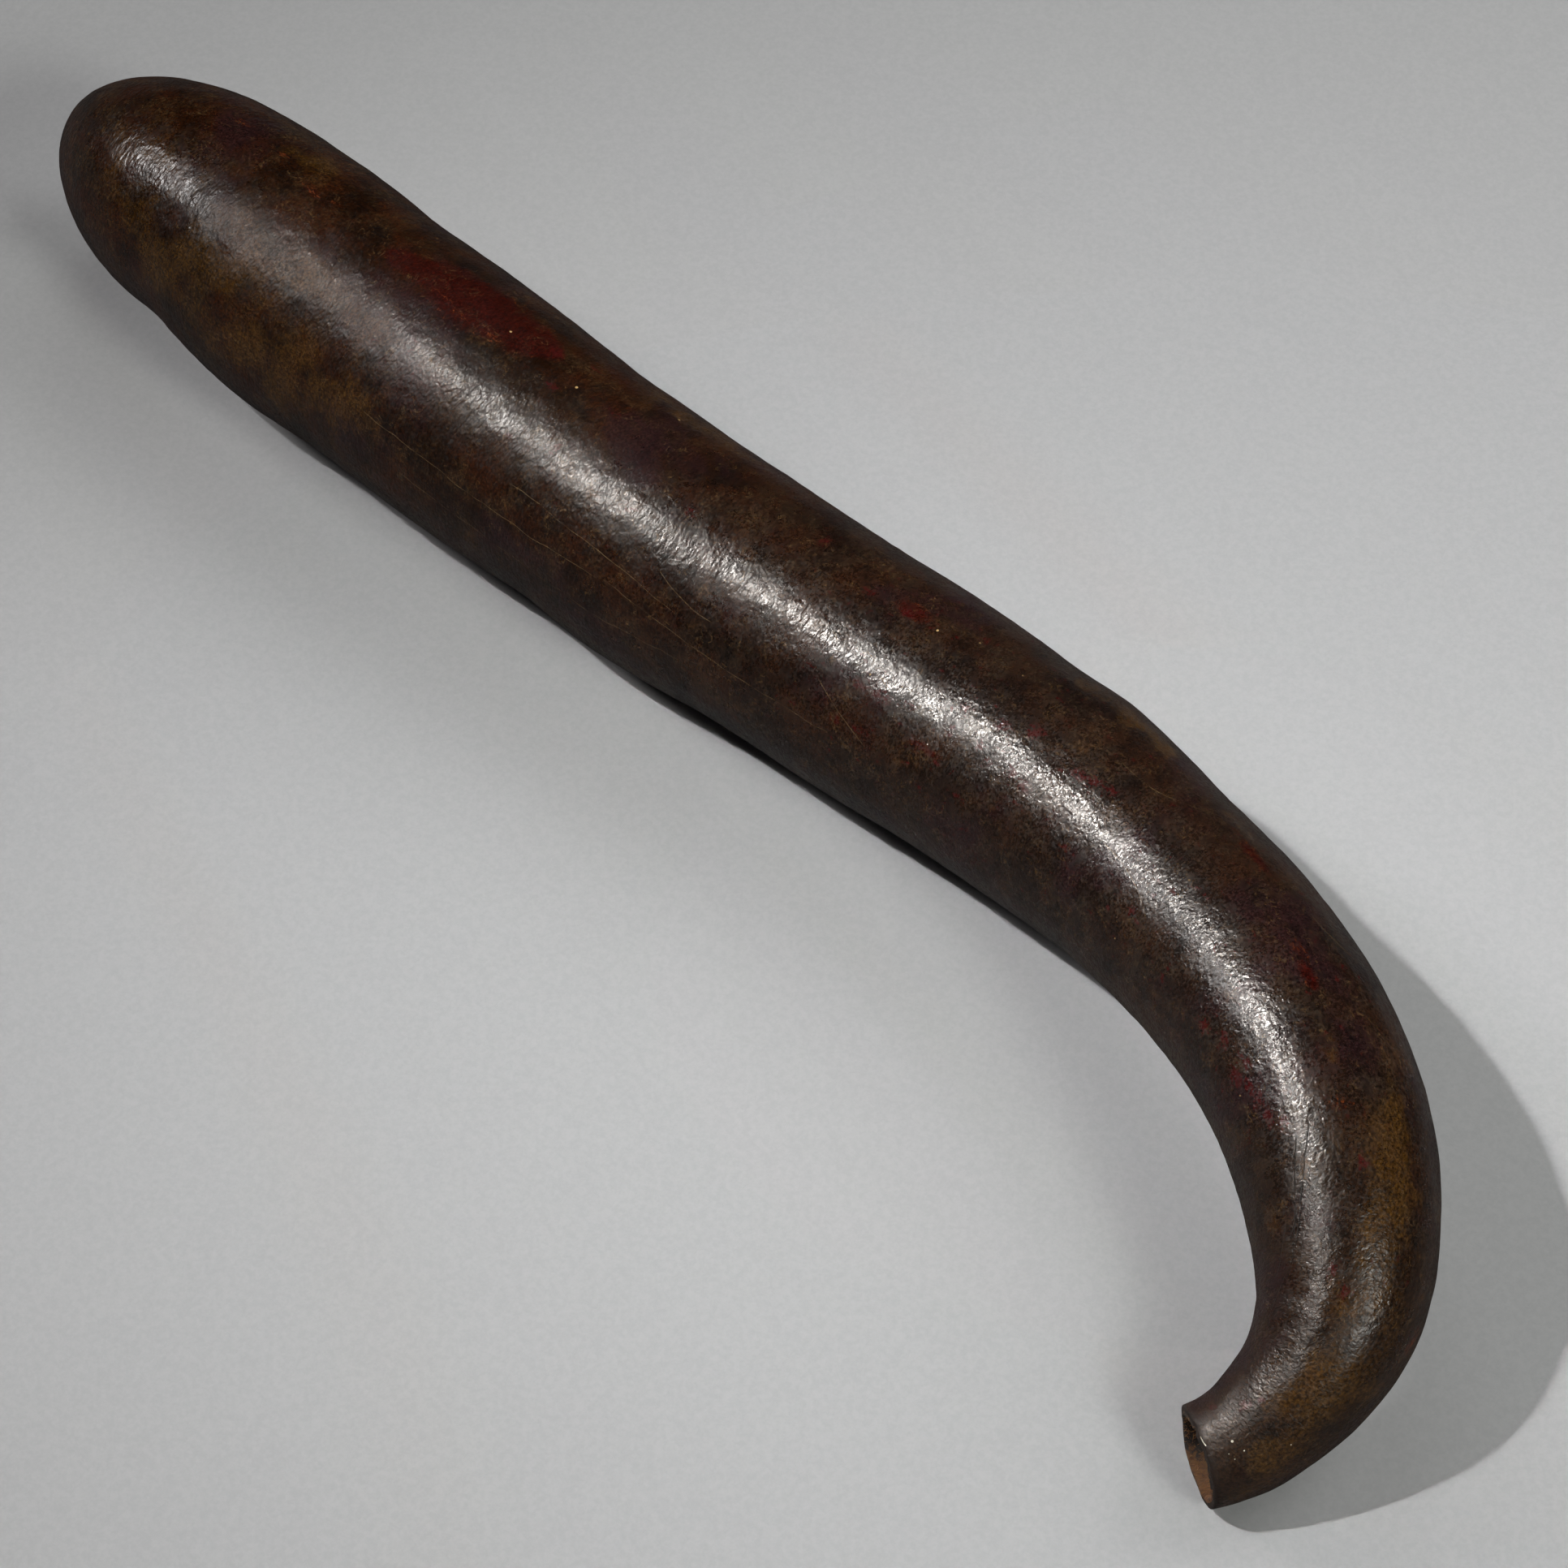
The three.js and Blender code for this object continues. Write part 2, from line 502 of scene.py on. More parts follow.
@dataclass
class GourdForm:
    """The grown shape: a round blossom end, a long body and a hooked neck. Millimetres and degrees."""

    station_step: float = 50.0
    # Each station is x, y, z and the outer radius, and the first is the blossom tip.
    stations: tuple[tuple[float, float, float, float], ...] = (
        (-1.5, 9.5, 50, 43), (49.5, 7.5, 50, 47), (99.5, 5.5, 51.8, 51.2), (149, 1, 53.3, 53.8),
        (199, 0.5, 52.2, 52.2), (249, -1.5, 52.3, 51.9), (299, -1.5, 50.6, 50.2), (349, -2.5, 49.5, 50),
        (399, 0, 48.5, 48.2), (449, 1.5, 49.1, 47.5), (499, 2.5, 51.3, 46.2), (548.5, -0.5, 56, 45),
        (597.5, -8.5, 60.5, 41.4), (645.5, -21.5, 66, 40.2), (691, -41.5, 68.5, 38.7), (731, -69, 62, 35.7),
        (759, -105.5, 46, 29.1), (758, -149, 24.5, 21), (731, -185.5, 10.5, 16.5))
    origin: Triple = (-393.37, 59.18, 0.0)
    cap_length: float = 76.0
    cap_power: float = 2.05
    mouth_at: float = 872.0
    mouth_slant: float = 5.0
    slant_angle: float = 28.0
    slant_reach: float = 40.0
    wall_body: float = 5.0
    wall_mouth: float = 4.4
    dents: tuple[Dent, ...] = (
        Dent(177, 60, 1.2, 16, 45), Dent(94, -120, 1.4, 16, 45), Dent(300, 60, 0.8, 18, 40),
        Dent(318, -120, 0.9, 22, 40), Dent(410, -120, 1.1, 40, 40), Dent(390, 60, -0.8, 40, 40),
        Dent(470, 60, -0.7, 40, 35), Dent(526, 60, 0.7, 16, 40), Dent(552, 60, -0.6, 14, 40),
        Dent(822, -54, 1.3, 14, 50))

    def outer_radius(self, along: np.ndarray) -> np.ndarray:
        """The outer radius at each distance along the gourd.

        Args:
            along: Distances from the blossom tip.

        Returns:
            The radii.
        """
        radii = np.array(self.stations)[:, 3:]
        full = through_stations(radii, along / self.station_step)[0][..., 0]
        reach = np.clip(1 - along / self.cap_length, 0.0, 1.0) ** self.cap_power
        return full * np.sqrt(1 - reach)

    def wall(self, along: np.ndarray) -> np.ndarray:
        """The rind's thickness, a little thinner towards the mouth."""
        return self.wall_body + (self.wall_mouth - self.wall_body) * along / self.mouth_at

    def dent_depth(self, along: np.ndarray, degrees: np.ndarray) -> np.ndarray:
        """How far the dents push the skin in.

        Args:
            along: Distances from the blossom tip.
            degrees: Angles round the centre line.

        Returns:
            The depth at each place.
        """
        depth = np.zeros_like(along)
        for dent in self.dents:
            across = turn_between(degrees, dent.degrees) / dent.reach_round
            depth += dent.depth * np.exp(-((along - dent.along) / dent.reach_along) ** 2 - across**2)
        return depth

    def place(self, along: np.ndarray, degrees: np.ndarray,
              radius: np.ndarray) -> tuple[np.ndarray, np.ndarray]:
        """Bends places on the straightened gourd on to its centre line.

        Args:
            along: Distances from the blossom tip.
            degrees: Angles round the centre line.
            radius: Distances from the centre line.

        Returns:
            The places in metres, and the distances along the line once the mouth's slant is in.
        """
        share = smooth_step(along, self.mouth_at - self.slant_reach, self.mouth_at)
        facing = np.cos(np.radians(degrees - self.slant_angle))
        along = along - self.mouth_slant * share * facing * radius / self.outer_radius(np.array(self.mouth_at))
        line = np.array(self.stations)[:, :3]
        centre, tangent = through_stations(line, along / self.station_step)
        tangent /= np.linalg.norm(tangent, axis=-1, keepdims=True)
        side = np.cross(np.array([0.0, 0.0, 1.0]), tangent)
        side /= np.linalg.norm(side, axis=-1, keepdims=True)
        above = np.cross(tangent, side)
        reach = np.where(radius > 0, radius - self.dent_depth(along, degrees), 0.0)[..., None]
        turn = np.radians(degrees)[..., None]
        points = centre + reach * (np.sin(turn) * side + np.cos(turn) * above) + np.array(self.origin)
        return points * MM, along


# Marks on the skin


@dataclass(frozen=True)
class Mark:
    """One worn or stained place on the skin. Millimetres along and across it, and degrees round."""

    along: float
    degrees: float
    long: float
    wide: float


def mark_rows(*rows: tuple[float, float, float, float]) -> tuple[Mark, ...]:
    """Marks from rows of along, degrees, length and width."""
    return tuple(Mark(*row) for row in rows)


@dataclass(frozen=True)
class SkinMarks:
    """Where the skin is worn, stained and flecked."""

    red_wear: tuple[Mark, ...] = mark_rows(
        (198, 4, 9, 6), (214, 9, 12, 9), (232, 10, 16, 15), (250, 10, 15, 15), (264, 12, 12, 10),
        (274, 14, 8, 6), (512, -48, 12, 1.8), (690, 6, 7, 3), (640, 24, 10, 3), (470, 6, 12, 5))
    # Dust marks lie on the highlight's line: matt patches that also carry a paler brown as painted sheen.
    dust_and_sheen: tuple[Mark, ...] = mark_rows(
        (134, -29, 14, 8), (158, -30, 20, 9), (186, -29, 22, 9), (214, -30, 18, 7), (802, 16, 18, 4.5))
    ochre: tuple[Mark, ...] = mark_rows(
        (95, -66, 32, 22), (140, -70, 32, 24), (185, -72, 28, 22), (222, -66, 20, 16), (150, -42, 30, 12),
        (64, -30, 20, 16), (132, 18, 18, 9), (719, -1, 7, 5), (736, 30, 9, 6), (752, 28, 14, 8),
        (762, 14, 16, 9), (778, 18, 16, 8), (800, 14, 20, 9), (822, 22, 16, 8), (790, 44, 22, 12),
        (828, 52, 18, 10), (851, 45, 9, 7), (846, 72, 10, 9), (856, 92, 10, 8), (352, 42, 40, 14),
        (560, 40, 34, 12), (150, 150, 60, 40), (430, 170, 70, 34), (640, 150, 60, 30))
    flecks: tuple[Mark, ...] = mark_rows(
        (278, 15, 3.4, 2.4), (235, -23, 2.0, 1.2), (236, -28, 1.0, 2.2), (220, -35, 1.0, 2.4),
        (229, -38, 1.6, 2.0), (243, -36, 1.0, 2.4), (290, -33, 2.2, 1.4), (311, -25, 1.4, 3.0),
        (317, 6, 3.2, 1.2), (293, 22, 3.4, 0.9), (290, -2, 2.6, 1.4), (352, -27, 2.4, 1.4),
        (371, -13, 1.8, 1.2), (421, 13, 1.6, 3.4), (451, 2, 2.4, 1.8), (469, 3, 2.6, 1.6),
        (472, 8, 2.0, 1.2), (501, 16, 2.2, 1.4), (536, -19, 3.0, 2.2), (518, -22, 2.6, 1.8),
        (473, -39, 4.0, 1.2), (483, -38, 4.6, 1.8), (496, -35, 3.4, 1.2), (469, -59, 2.4, 1.6),
        (481, -57, 3.6, 1.4), (509, -52, 1.6, 1.0), (519, -51, 2.4, 1.0), (518, -34, 1.6, 2.4),
        (533, -32, 2.2, 2.0), (540, -36, 1.8, 1.6), (551, -34, 2.6, 2.2), (558, -36, 3.2, 1.8),
        (547, -12, 3.0, 2.4), (573, -15, 4.0, 2.2), (579, -12, 3.6, 2.4), (586, -10, 2.4, 1.8),
        (587, -47, 2.0, 1.4), (629, -47, 2.0, 1.4), (686, -57, 3.4, 2.0), (696, -51, 3.0, 2.2),
        (709, -45, 3.2, 1.8), (711, -54, 4.4, 2.6), (717, -48, 3.4, 1.8), (723, -46, 3.4, 1.8),
        (731, -44, 3.6, 1.8), (735, -36, 3.0, 2.0), (754, 5, 2.6, 1.6), (787, -10, 2.6, 1.8),
        (794, 3, 3.0, 2.2), (844, -2, 2.6, 1.8), (857, -21, 1.6, 1.2), (838, 4, 1.6, 1.2))
    rust: tuple[Mark, ...] = mark_rows(
        (149, 5, 5.0, 2.2), (95, 15, 4.0, 2.2), (124, 12, 3.0, 1.4), (631, 27, 5.0, 1.2),
        (681, 9, 4.0, 2.4), (799, 74, 3.6, 2.0), (735, -3, 2.0, 3.6), (160, 8, 3.4, 1.0),
        (228, 2, 5.0, 1.2), (240, -1, 5.0, 1.2), (256, 0, 4.6, 1.2))
    pale: tuple[Mark, ...] = mark_rows(
        (259, 8, 0.6, 0.6), (297, 5, 0.7, 0.7), (334, 29, 0.5, 0.5), (484, 4, 0.6, 0.6),
        (628, -66, 0.4, 0.4), (856, 23, 0.55, 0.55), (854, 36, 0.3, 0.3), (858, 41, 0.22, 0.22),
        (841, 53, 0.22, 0.22), (859, 34, 0.2, 0.2), (500, 12, 0.4, 0.4), (524, 10, 0.35, 0.35),
        (474, -32, 0.35, 0.35))
    # How dull the polish is, from the blossom tip to the mouth: distance along, dullness.
    dullness: tuple[tuple[float, float], ...] = (
        (0, 0.0), (95, 0.02), (120, 0.12), (150, 0.24), (190, 0.26), (270, 0.24), (340, 0.18),
        (400, 0.08), (480, 0.0), (735, 0.0), (760, 0.05), (800, 0.10), (826, 0.16), (848, 0.40),
        (872, 0.55))
    # How many stray red flecks there are, in the same way.
    fleck_zone: tuple[tuple[float, float], ...] = (
        (0, 0.0), (180, 0.15), (260, 0.4), (420, 0.5), (520, 1.0), (600, 0.6), (690, 0.9), (760, 0.5),
        (872, 0.1))

    @staticmethod
    def soft(places: tuple[Mark, ...], along: np.ndarray, degrees: np.ndarray,
             radius: np.ndarray) -> np.ndarray:
        """A cover that fades out from each mark.

        Args:
            places: The marks.
            along: Distances from the blossom tip.
            degrees: Angles round the centre line.
            radius: The skin's radius.

        Returns:
            The summed cover, from 0 to 1.5.
        """
        total = np.zeros_like(along)
        for mark in places:
            across = np.radians(turn_between(degrees, mark.degrees)) * radius
            total += np.exp(-((along - mark.along) / mark.long) ** 2 - (across / mark.wide) ** 2)
        return np.minimum(total, 1.5)

    @staticmethod
    def nearest(places: tuple[Mark, ...], along: np.ndarray, degrees: np.ndarray,
                radius: np.ndarray) -> np.ndarray:
        """The distance to the nearest mark, with 1 on a mark's edge.

        Args:
            places: The marks.
            along: Distances from the blossom tip.
            degrees: Angles round the centre line.
            radius: The skin's radius.

        Returns:
            The distances, no more than 6.
        """
        least = np.full_like(along, 6.0)
        for mark in places:
            across = np.radians(turn_between(degrees, mark.degrees)) * radius
            least = np.minimum(least, np.hypot((along - mark.along) / mark.long, across / mark.wide))
        return least


# Finishes


@dataclass(frozen=True)
class Scratch:
    """One hairline on the flattened skin. Millimetres and degrees, from its start."""

    along: float
    degrees: float
    turn: float
    length: float
    width: float
    wander: float
    bow: float = 0.0


@dataclass(frozen=True)
class Stain:
    """One worn or stained colour: what carries it, how broken its edge is, where it shows and how strongly."""

    layer: str
    colour: Colour
    ragged: float
    drifting: float
    starts: float
    full: float
    crumbly: bool
    share: float


@dataclass(frozen=True)
class Ripple:
    """One layer of the skin's crinkle: its pattern, how it is drawn out, and its height in millimetres."""

    pattern: Pattern
    drawn: Triple
    on_body: float
    on_neck: float


@dataclass(frozen=True)
class RindPatina:
    """Very dark brown polished rind with cloudy wear, red and ochre stains, flecks, hairs and scratches, a
    paler brown painted sheen along the highlight's line and a painted glint at the cut rim.
    """

    deep: Colour = (0.0090, 0.0026, 0.0004)
    umber: Colour = (0.0095, 0.0046, 0.0030)
    russet: Colour = (0.0250, 0.0060, 0.0010)
    bronze: Colour = (0.0210, 0.0084, 0.0040)
    olive: Colour = (0.0460, 0.0240, 0.0085)
    ash: Colour = (0.0380, 0.0245, 0.0150)
    earth: Colour = (0.0240, 0.0100, 0.0030)
    black: Colour = (0.0030, 0.0022, 0.0018)
    plum: Colour = (0.0170, 0.0056, 0.0066)
    ochre: Colour = (0.0620, 0.0270, 0.0032)
    # A paler brown laid along the highlight's line: dust and painted sheen.
    dusty_sheen: Colour = (0.0850, 0.0420, 0.0200)
    wear_red: Colour = (0.0270, 0.0022, 0.0008)
    fleck_red: Colour = (0.0520, 0.0038, 0.0036)
    rust: Colour = (0.1700, 0.0380, 0.0090)
    straw: Colour = (0.1100, 0.0620, 0.0240)
    scored: Colour = (0.1500, 0.0950, 0.0450)
    # Near-white for the pale specks, and for the painted glint on the chip at the rim.
    chalk_and_glint: Colour = (0.7500, 0.7000, 0.5600)
    crumb: Colour = (0.5000, 0.3200, 0.1300)
    cut: Colour = (0.0140, 0.0066, 0.0038)

    # How much of each small thing shows.
    worn_share: float = 0.7
    earth_share: float = 0.5
    plum_share: float = 0.7
    soot_share: float = 0.6
    fringe_share: float = 0.5
    hair_share: float = 0.45
    fleck_share: float = 0.75
    rust_share: float = 0.45
    thread_share: float = 0.8
    scratch_share: float = 0.85
    crack_share: float = 0.8
    cut_share: float = 0.85

    # The polish, and what makes it rougher.
    roughness: float = 0.235
    pit_extra: float = 0.15
    dull_extra: float = 0.36
    cut_extra: float = 0.20
    matt_extra: float = 0.15
    glancing_extra: float = 0.30
    crack_extra: float = 0.25
    index: float = 1.41

    # Where along the gourd the ground and the crinkle change, in metres.
    neck_tone: tuple[float, float] = (0.22, 0.55)
    hook_tone: tuple[float, float] = (0.70, 0.83)
    neck_crinkle: tuple[float, float] = (0.40, 0.56)

    broad_clouds: Clouds = Clouds(34.0, 0.70, 0.40, 0.63, 1.0)
    worn_clouds: Clouds = Clouds(62.0, 0.72, 0.44, 0.64, 2.0)
    plum_clouds: Clouds = Clouds(22.0, 0.6, 0.52, 0.66, 3.0)
    soot: Clouds = Clouds(80.0, 0.8, 0.53, 0.66, 4.0)
    rust_grain: Clouds = Clouds(700.0, 0.6, 0.58, 0.66, 13.0)
    speckle: Pattern = Pattern(620.0, 3.0, 0.7, 6.0, starts=0.42, full=0.62, least=0.12)
    broken_edge: Pattern = Pattern(95.0, 6.0, 0.72, 11.0)
    broken_reach: float = 2.2
    drift: Pattern = Pattern(55.0, 3.0, 0.6, 14.0)
    drift_reach: float = 3.6
    crumbs: Pattern = Pattern(640.0, 3.0, 0.7, 12.0, starts=0.34, full=0.66, least=0.40)
    hairs: Hairs = Hairs(190.0, 0.018, 0.48, 21.0)
    fine_tone: Pattern = Pattern(950.0, 3.0, 0.65, 22.0, starts=0.3, full=0.7, least=0.30, most=1.80)
    fleck_drawn: Triple = (0.6, 1.0, 1.0)
    fleck_edge: Pattern = Pattern(900.0, 3.0, 0.65, 23.0, warp=0.4)
    fleck_reach: float = 5.0
    fleck_size: float = 0.85
    stray_flecks: Pattern = Pattern(380.0, 4.0, 0.62, 25.0, starts=0.64, full=0.68)
    stray_drift: Pattern = Pattern(26.0, 2.0, 0.5, 24.0)
    rust_threads: Hairs = Hairs(420.0, 0.07, 0.30, 26.0)
    polish: Pattern = Pattern(130.0, 4.0, 0.6, 5.0, starts=0.35, full=0.65, least=-0.03, most=0.05)
    pits: Pattern = Pattern(1000.0, 2.0, 0.6, 7.0, starts=0.49, full=0.62)
    pits_drawn: Triple = (1.0, 0.7, 0.7)
    frayed: Pattern = Pattern(110.0, 4.0, 0.7, 8.0)
    frayed_reach: float = 1.6
    wobble: Pattern = Pattern(60.0, 2.0, 0.5, 0.0)
    breaks: Pattern = Pattern(150.0, 1.0, 0.6, 3.0, starts=0.38, full=0.55, least=0.25)
    swell: Pattern = Pattern(70.0, 2.0, 0.5, 33.0, starts=0.35, full=0.65, least=0.65, most=1.2)
    ripples: tuple[Ripple, ...] = (
        Ripple(Pattern(620.0, 1.5, 0.5, 30.0, warp=0.5), (1.0, 0.36, 0.36), 0.26, 0.05),
        Ripple(Pattern(820.0, 1.0, 0.5, 31.0, warp=0.6), (1.0, 0.75, 0.75), 0.07, 0.20),
        Ripple(Pattern(400.0, 1.0, 0.5, 32.0, warp=0.4), (1.0, 1.0, 1.0), 0.19, 0.19))
    scratch_depth: float = 0.02
    crack_depth: float = 0.16
    # The red wear comes last, because the rusty fringe follows its edge.
    stains: tuple[Stain, ...] = (
        Stain("ochre", ochre, 1.0, 1.0, 0.45, 1.5, True, 0.75),
        # The dust stain paints a paler brown along the highlight's line: painted sheen as well as matt dust.
        Stain("dust_and_sheen", dusty_sheen, 1.0, 1.0, 0.2, 1.4, True, 0.45),
        Stain("red_wear", wear_red, 0.65, 0.0, 0.32, 0.85, False, 0.88))

    scratches: tuple[Scratch, ...] = (
        Scratch(226, -62, 0.02, 130, 0.22, 1.6, 3.0), Scratch(300, -50, -0.05, 90, 0.20, 1.0, -2.0),
        Scratch(372, -42, -0.20, 34, 0.22, 0.6, 2.0), Scratch(352, -60, -0.02, 120, 0.18, 1.4, 3.0),
        Scratch(456, -46, -0.42, 34, 0.24, 0.6, 1.0), Scratch(250, -78, 0.04, 150, 0.16, 2.0, 4.0),
        Scratch(578, 6, 0.35, 42, 0.22, 0.8, 5.0), Scratch(600, -32, -0.25, 38, 0.20, 0.6, -3.0),
        Scratch(668, 30, 0.45, 22, 0.30, 0.8, 1.5), Scratch(418, 30, 0.10, 60, 0.14, 1.2, 2.0))
    cracks: tuple[Scratch, ...] = (
        Scratch(737, -22, -0.14, 54, 0.34, 1.0, 1.4), Scratch(748, -27, -0.24, 30, 0.30, 0.8, -1.0),
        Scratch(742, -31, -0.05, 40, 0.24, 1.0, 1.0), Scratch(786, -40, 0.06, 26, 0.24, 0.9, 1.0),
        Scratch(770, -44, -0.02, 22, 0.24, 0.7, 0.6))
    # The chip at the cut rim is a painted glint: a near-white line where the broken edge catches the light.
    chip_glints: tuple[Scratch, ...] = (Scratch(866.5, 7.5, 1.81, 4.2, 0.36, 0.15, 0.2),)

    def material(self, effects: Effects, form: GourdForm, worn: SkinMarks) -> bpy.types.Material:
        """Builds the finish.

        Args:
            effects: The shared shader groups.
            form: The grown form, for placing the scratches and dots.
            worn: Where the skin is marked.

        Returns:
            The material.
        """
        made, bench = blank_material("gourd rind patina")
        grown = bench.named("straight", "Vector")
        skin = bench.put("ShaderNodeUVMap", uv_map="skin_map").outputs[0]
        cut = bench.named("rim")
        scratch, crack, chip_glint = (
            self._lines(bench, effects, skin, rows, form) for rows in (self.scratches, self.cracks, self.chip_glints))
        # Pale specks, and the chip's painted glint.
        chalk_and_glint = bench.math("MAXIMUM", self._dots(bench, effects, skin, form, worn), chip_glint)

        colour = self._ground(bench, effects, grown)
        colour = self._stained(bench, effects, grown, colour)
        colour = self._flecked(bench, effects, grown, colour)
        colour = bench.tint(bench.times(scratch, self.scratch_share), colour, opaque(self.scored))
        colour = bench.tint(bench.times(crack, self.crack_share), colour, opaque(self.black))
        colour = bench.tint(bench.times(cut, self.cut_share), colour, opaque(self.cut))
        pale = bench.tint(bench.ramp(bench.named("inward"), 0.8, 1.0), opaque(self.chalk_and_glint), opaque(self.crumb))
        colour = bench.tint(chalk_and_glint, colour, pale)

        rough = bench.plus(self._dulled(bench, grown), bench.times(cut, self.cut_extra))
        broken = bench.times(bench.math("MAXIMUM", crack, chalk_and_glint), self.crack_extra)
        rough = bench.math("ADD", rough, broken, clamp=True)
        normal = bench.bump(self._crinkle(bench, grown, scratch, crack))
        bench.shade({"Base Color": colour, "Roughness": rough, "IOR": self.index, "Normal": normal})
        return made

    @staticmethod
    def _across(form: GourdForm, along: float, degrees: float) -> float:
        """The distance round the skin from its upper side, in metres."""
        return math.radians(degrees) * float(form.outer_radius(np.array(along))) * MM

    def _lines(self, bench: Bench, effects: Effects, skin: Feed, rows: tuple[Scratch, ...],
               form: GourdForm) -> Socket:
        """All of one kind of hairline together.

        Args:
            bench: The material's bench.
            effects: The shared shader groups.
            skin: The flattened skin's coordinates.
            rows: The hairlines.
            form: The grown form, which turns degrees into distances.

        Returns:
            The socket of a mask.
        """
        wobble = self.wobble.value(bench, skin)
        breaks = self.breaks.mask(bench, skin)
        total: Feed = 0.0
        for row in rows:
            line = use_group(
                bench, effects.hairline, Skin=skin, Along=row.along * MM,
                Across=self._across(form, row.along, row.degrees), Turn=row.turn, Length=row.length * MM,
                Width=row.width * MM, Wander=row.wander * MM, Bow=row.bow * MM, Wobble=wobble, Breaks=breaks)
            total = bench.math("MAXIMUM", total, line)
        return total

    def _dots(self, bench: Bench, effects: Effects, skin: Feed, form: GourdForm, worn: SkinMarks) -> Socket:
        """The pale dots, the named ones and a stray few.

        Args:
            bench: The material's bench.
            effects: The shared shader groups.
            skin: The flattened skin's coordinates.
            form: The grown form, which turns degrees into distances.
            worn: Where the skin is marked.

        Returns:
            The socket of a mask.
        """
        stray = use_group(bench, effects.specks, Place=skin, Cells_per_metre=85.0, Size=0.034, Rarity=0.80,
                          Raggedness=0.02, Offset=0.81)
        total = bench.times(stray, 0.35)
        for mark in worn.pale:
            dot = use_group(bench, effects.dot, Skin=skin, Along=mark.along * MM,
                            Across=self._across(form, mark.along, mark.degrees), Size=mark.long * MM)
            total = bench.math("MAXIMUM", total, dot)
        return total

    def _ground(self, bench: Bench, effects: Effects, grown: Feed) -> Socket:
        """The cloudy dark brown ground.

        Args:
            bench: The material's bench.
            effects: The shared shader groups.
            grown: Coordinates that follow the grown skin.

        Returns:
            The colour's socket.
        """
        along = bench.put("ShaderNodeSeparateXYZ", {0: grown}).outputs["X"]
        neckward = bench.ramp(along, *self.neck_tone)
        under = bench.tint(neckward, opaque(self.deep), opaque(self.umber))
        over = bench.tint(neckward, opaque(self.russet), opaque(self.bronze))
        colour = bench.tint(self.broad_clouds.cover(bench, effects, grown), under, over)
        speckle = bench.times(self.speckle.mask(bench, grown), self.worn_share)
        rubbed = bench.times(self.worn_clouds.cover(bench, effects, grown), speckle)
        colour = bench.tint(rubbed, colour, bench.tint(neckward, opaque(self.olive), opaque(self.ash)))
        hookward = bench.ramp(along, *self.hook_tone, 0.0, self.earth_share)
        colour = bench.tint(hookward, colour, opaque(self.earth))
        plum = bench.times(self.plum_clouds.cover(bench, effects, grown), self.plum_share)
        colour = bench.tint(plum, colour, opaque(self.plum))
        darkening = bench.times(self.soot.cover(bench, effects, grown), self.soot_share)
        return bench.tint(darkening, colour, opaque(self.black))

    def _stained(self, bench: Bench, effects: Effects, grown: Feed, colour: Feed) -> Socket:
        """Ochre, dust with painted sheen, and red where the polish is worn or stained, with a rusty fringe
        round the red.

        Args:
            bench: The material's bench.
            effects: The shared shader groups.
            grown: Coordinates that follow the grown skin.
            colour: The colour so far.

        Returns:
            The colour's socket.
        """
        edge = bench.swung(self.broken_edge.value(bench, grown), self.broken_reach)
        drift = bench.swung(self.drift.value(bench, grown), self.drift_reach)
        crumbs = self.crumbs.mask(bench, grown)
        for stain in self.stains:
            pushed = bench.plus(bench.times(edge, stain.ragged), bench.times(drift, stain.drifting))
            cover = bench.ramp(bench.plus(bench.named(stain.layer), pushed), stain.starts, stain.full)
            shown = bench.times(cover, crumbs) if stain.crumbly else cover
            colour = bench.tint(bench.times(shown, stain.share), colour, opaque(stain.colour))
        fringe = bench.fade(bench.math("ABSOLUTE", bench.minus(cover, 0.35)), 0.0, 0.32)
        near = bench.ramp(bench.named("red_wear"), 0.08, 0.3)
        fringe = bench.times(bench.times(fringe, near), self.rust_grain.cover(bench, effects, grown))
        return bench.tint(bench.times(fringe, self.fringe_share), colour, opaque(self.rust))

    def _flecked(self, bench: Bench, effects: Effects, grown: Feed, colour: Feed) -> Socket:
        """Pale hairs, fine unevenness of tone, red flecks and rusty threads.

        Args:
            bench: The material's bench.
            effects: The shared shader groups.
            grown: Coordinates that follow the grown skin.
            colour: The colour so far.

        Returns:
            The colour's socket.
        """
        hairs = bench.times(self.hairs.cover(bench, effects, grown), self.hair_share)
        colour = bench.tint(hairs, colour, opaque(self.straw))
        fine = self.fine_tone.mask(bench, grown)
        shade = bench.put("ShaderNodeCombineColor", {0: fine, 1: fine, 2: fine}).outputs[0]
        colour = bench.tint(1.0, colour, shade, "MULTIPLY")

        drawn = bench.stretch(grown, self.fleck_drawn)
        ragged = bench.swung(self.fleck_edge.value(bench, drawn), self.fleck_reach)
        near = bench.times(bench.named("fleck_near"), self.fleck_size)
        fleck = bench.fade(bench.plus(near, ragged), 0.50, 0.85)
        zone = bench.plus(bench.named("fleck_zone"), self.stray_drift.value(bench, grown))
        stray = bench.times(self.stray_flecks.mask(bench, drawn), bench.ramp(zone, 0.85, 1.35))
        fleck = bench.times(bench.math("MAXIMUM", fleck, stray), self.fleck_share)
        colour = bench.tint(fleck, colour, opaque(self.fleck_red))
        rust = bench.fade(bench.plus(bench.named("rust_near"), ragged), 0.3, 1.1)
        colour = bench.tint(bench.times(rust, self.rust_share), colour, opaque(self.wear_red))
        threads = bench.times(self.rust_threads.cover(bench, effects, drawn), self.thread_share)
        return bench.tint(bench.times(rust, threads), colour, opaque(self.rust))

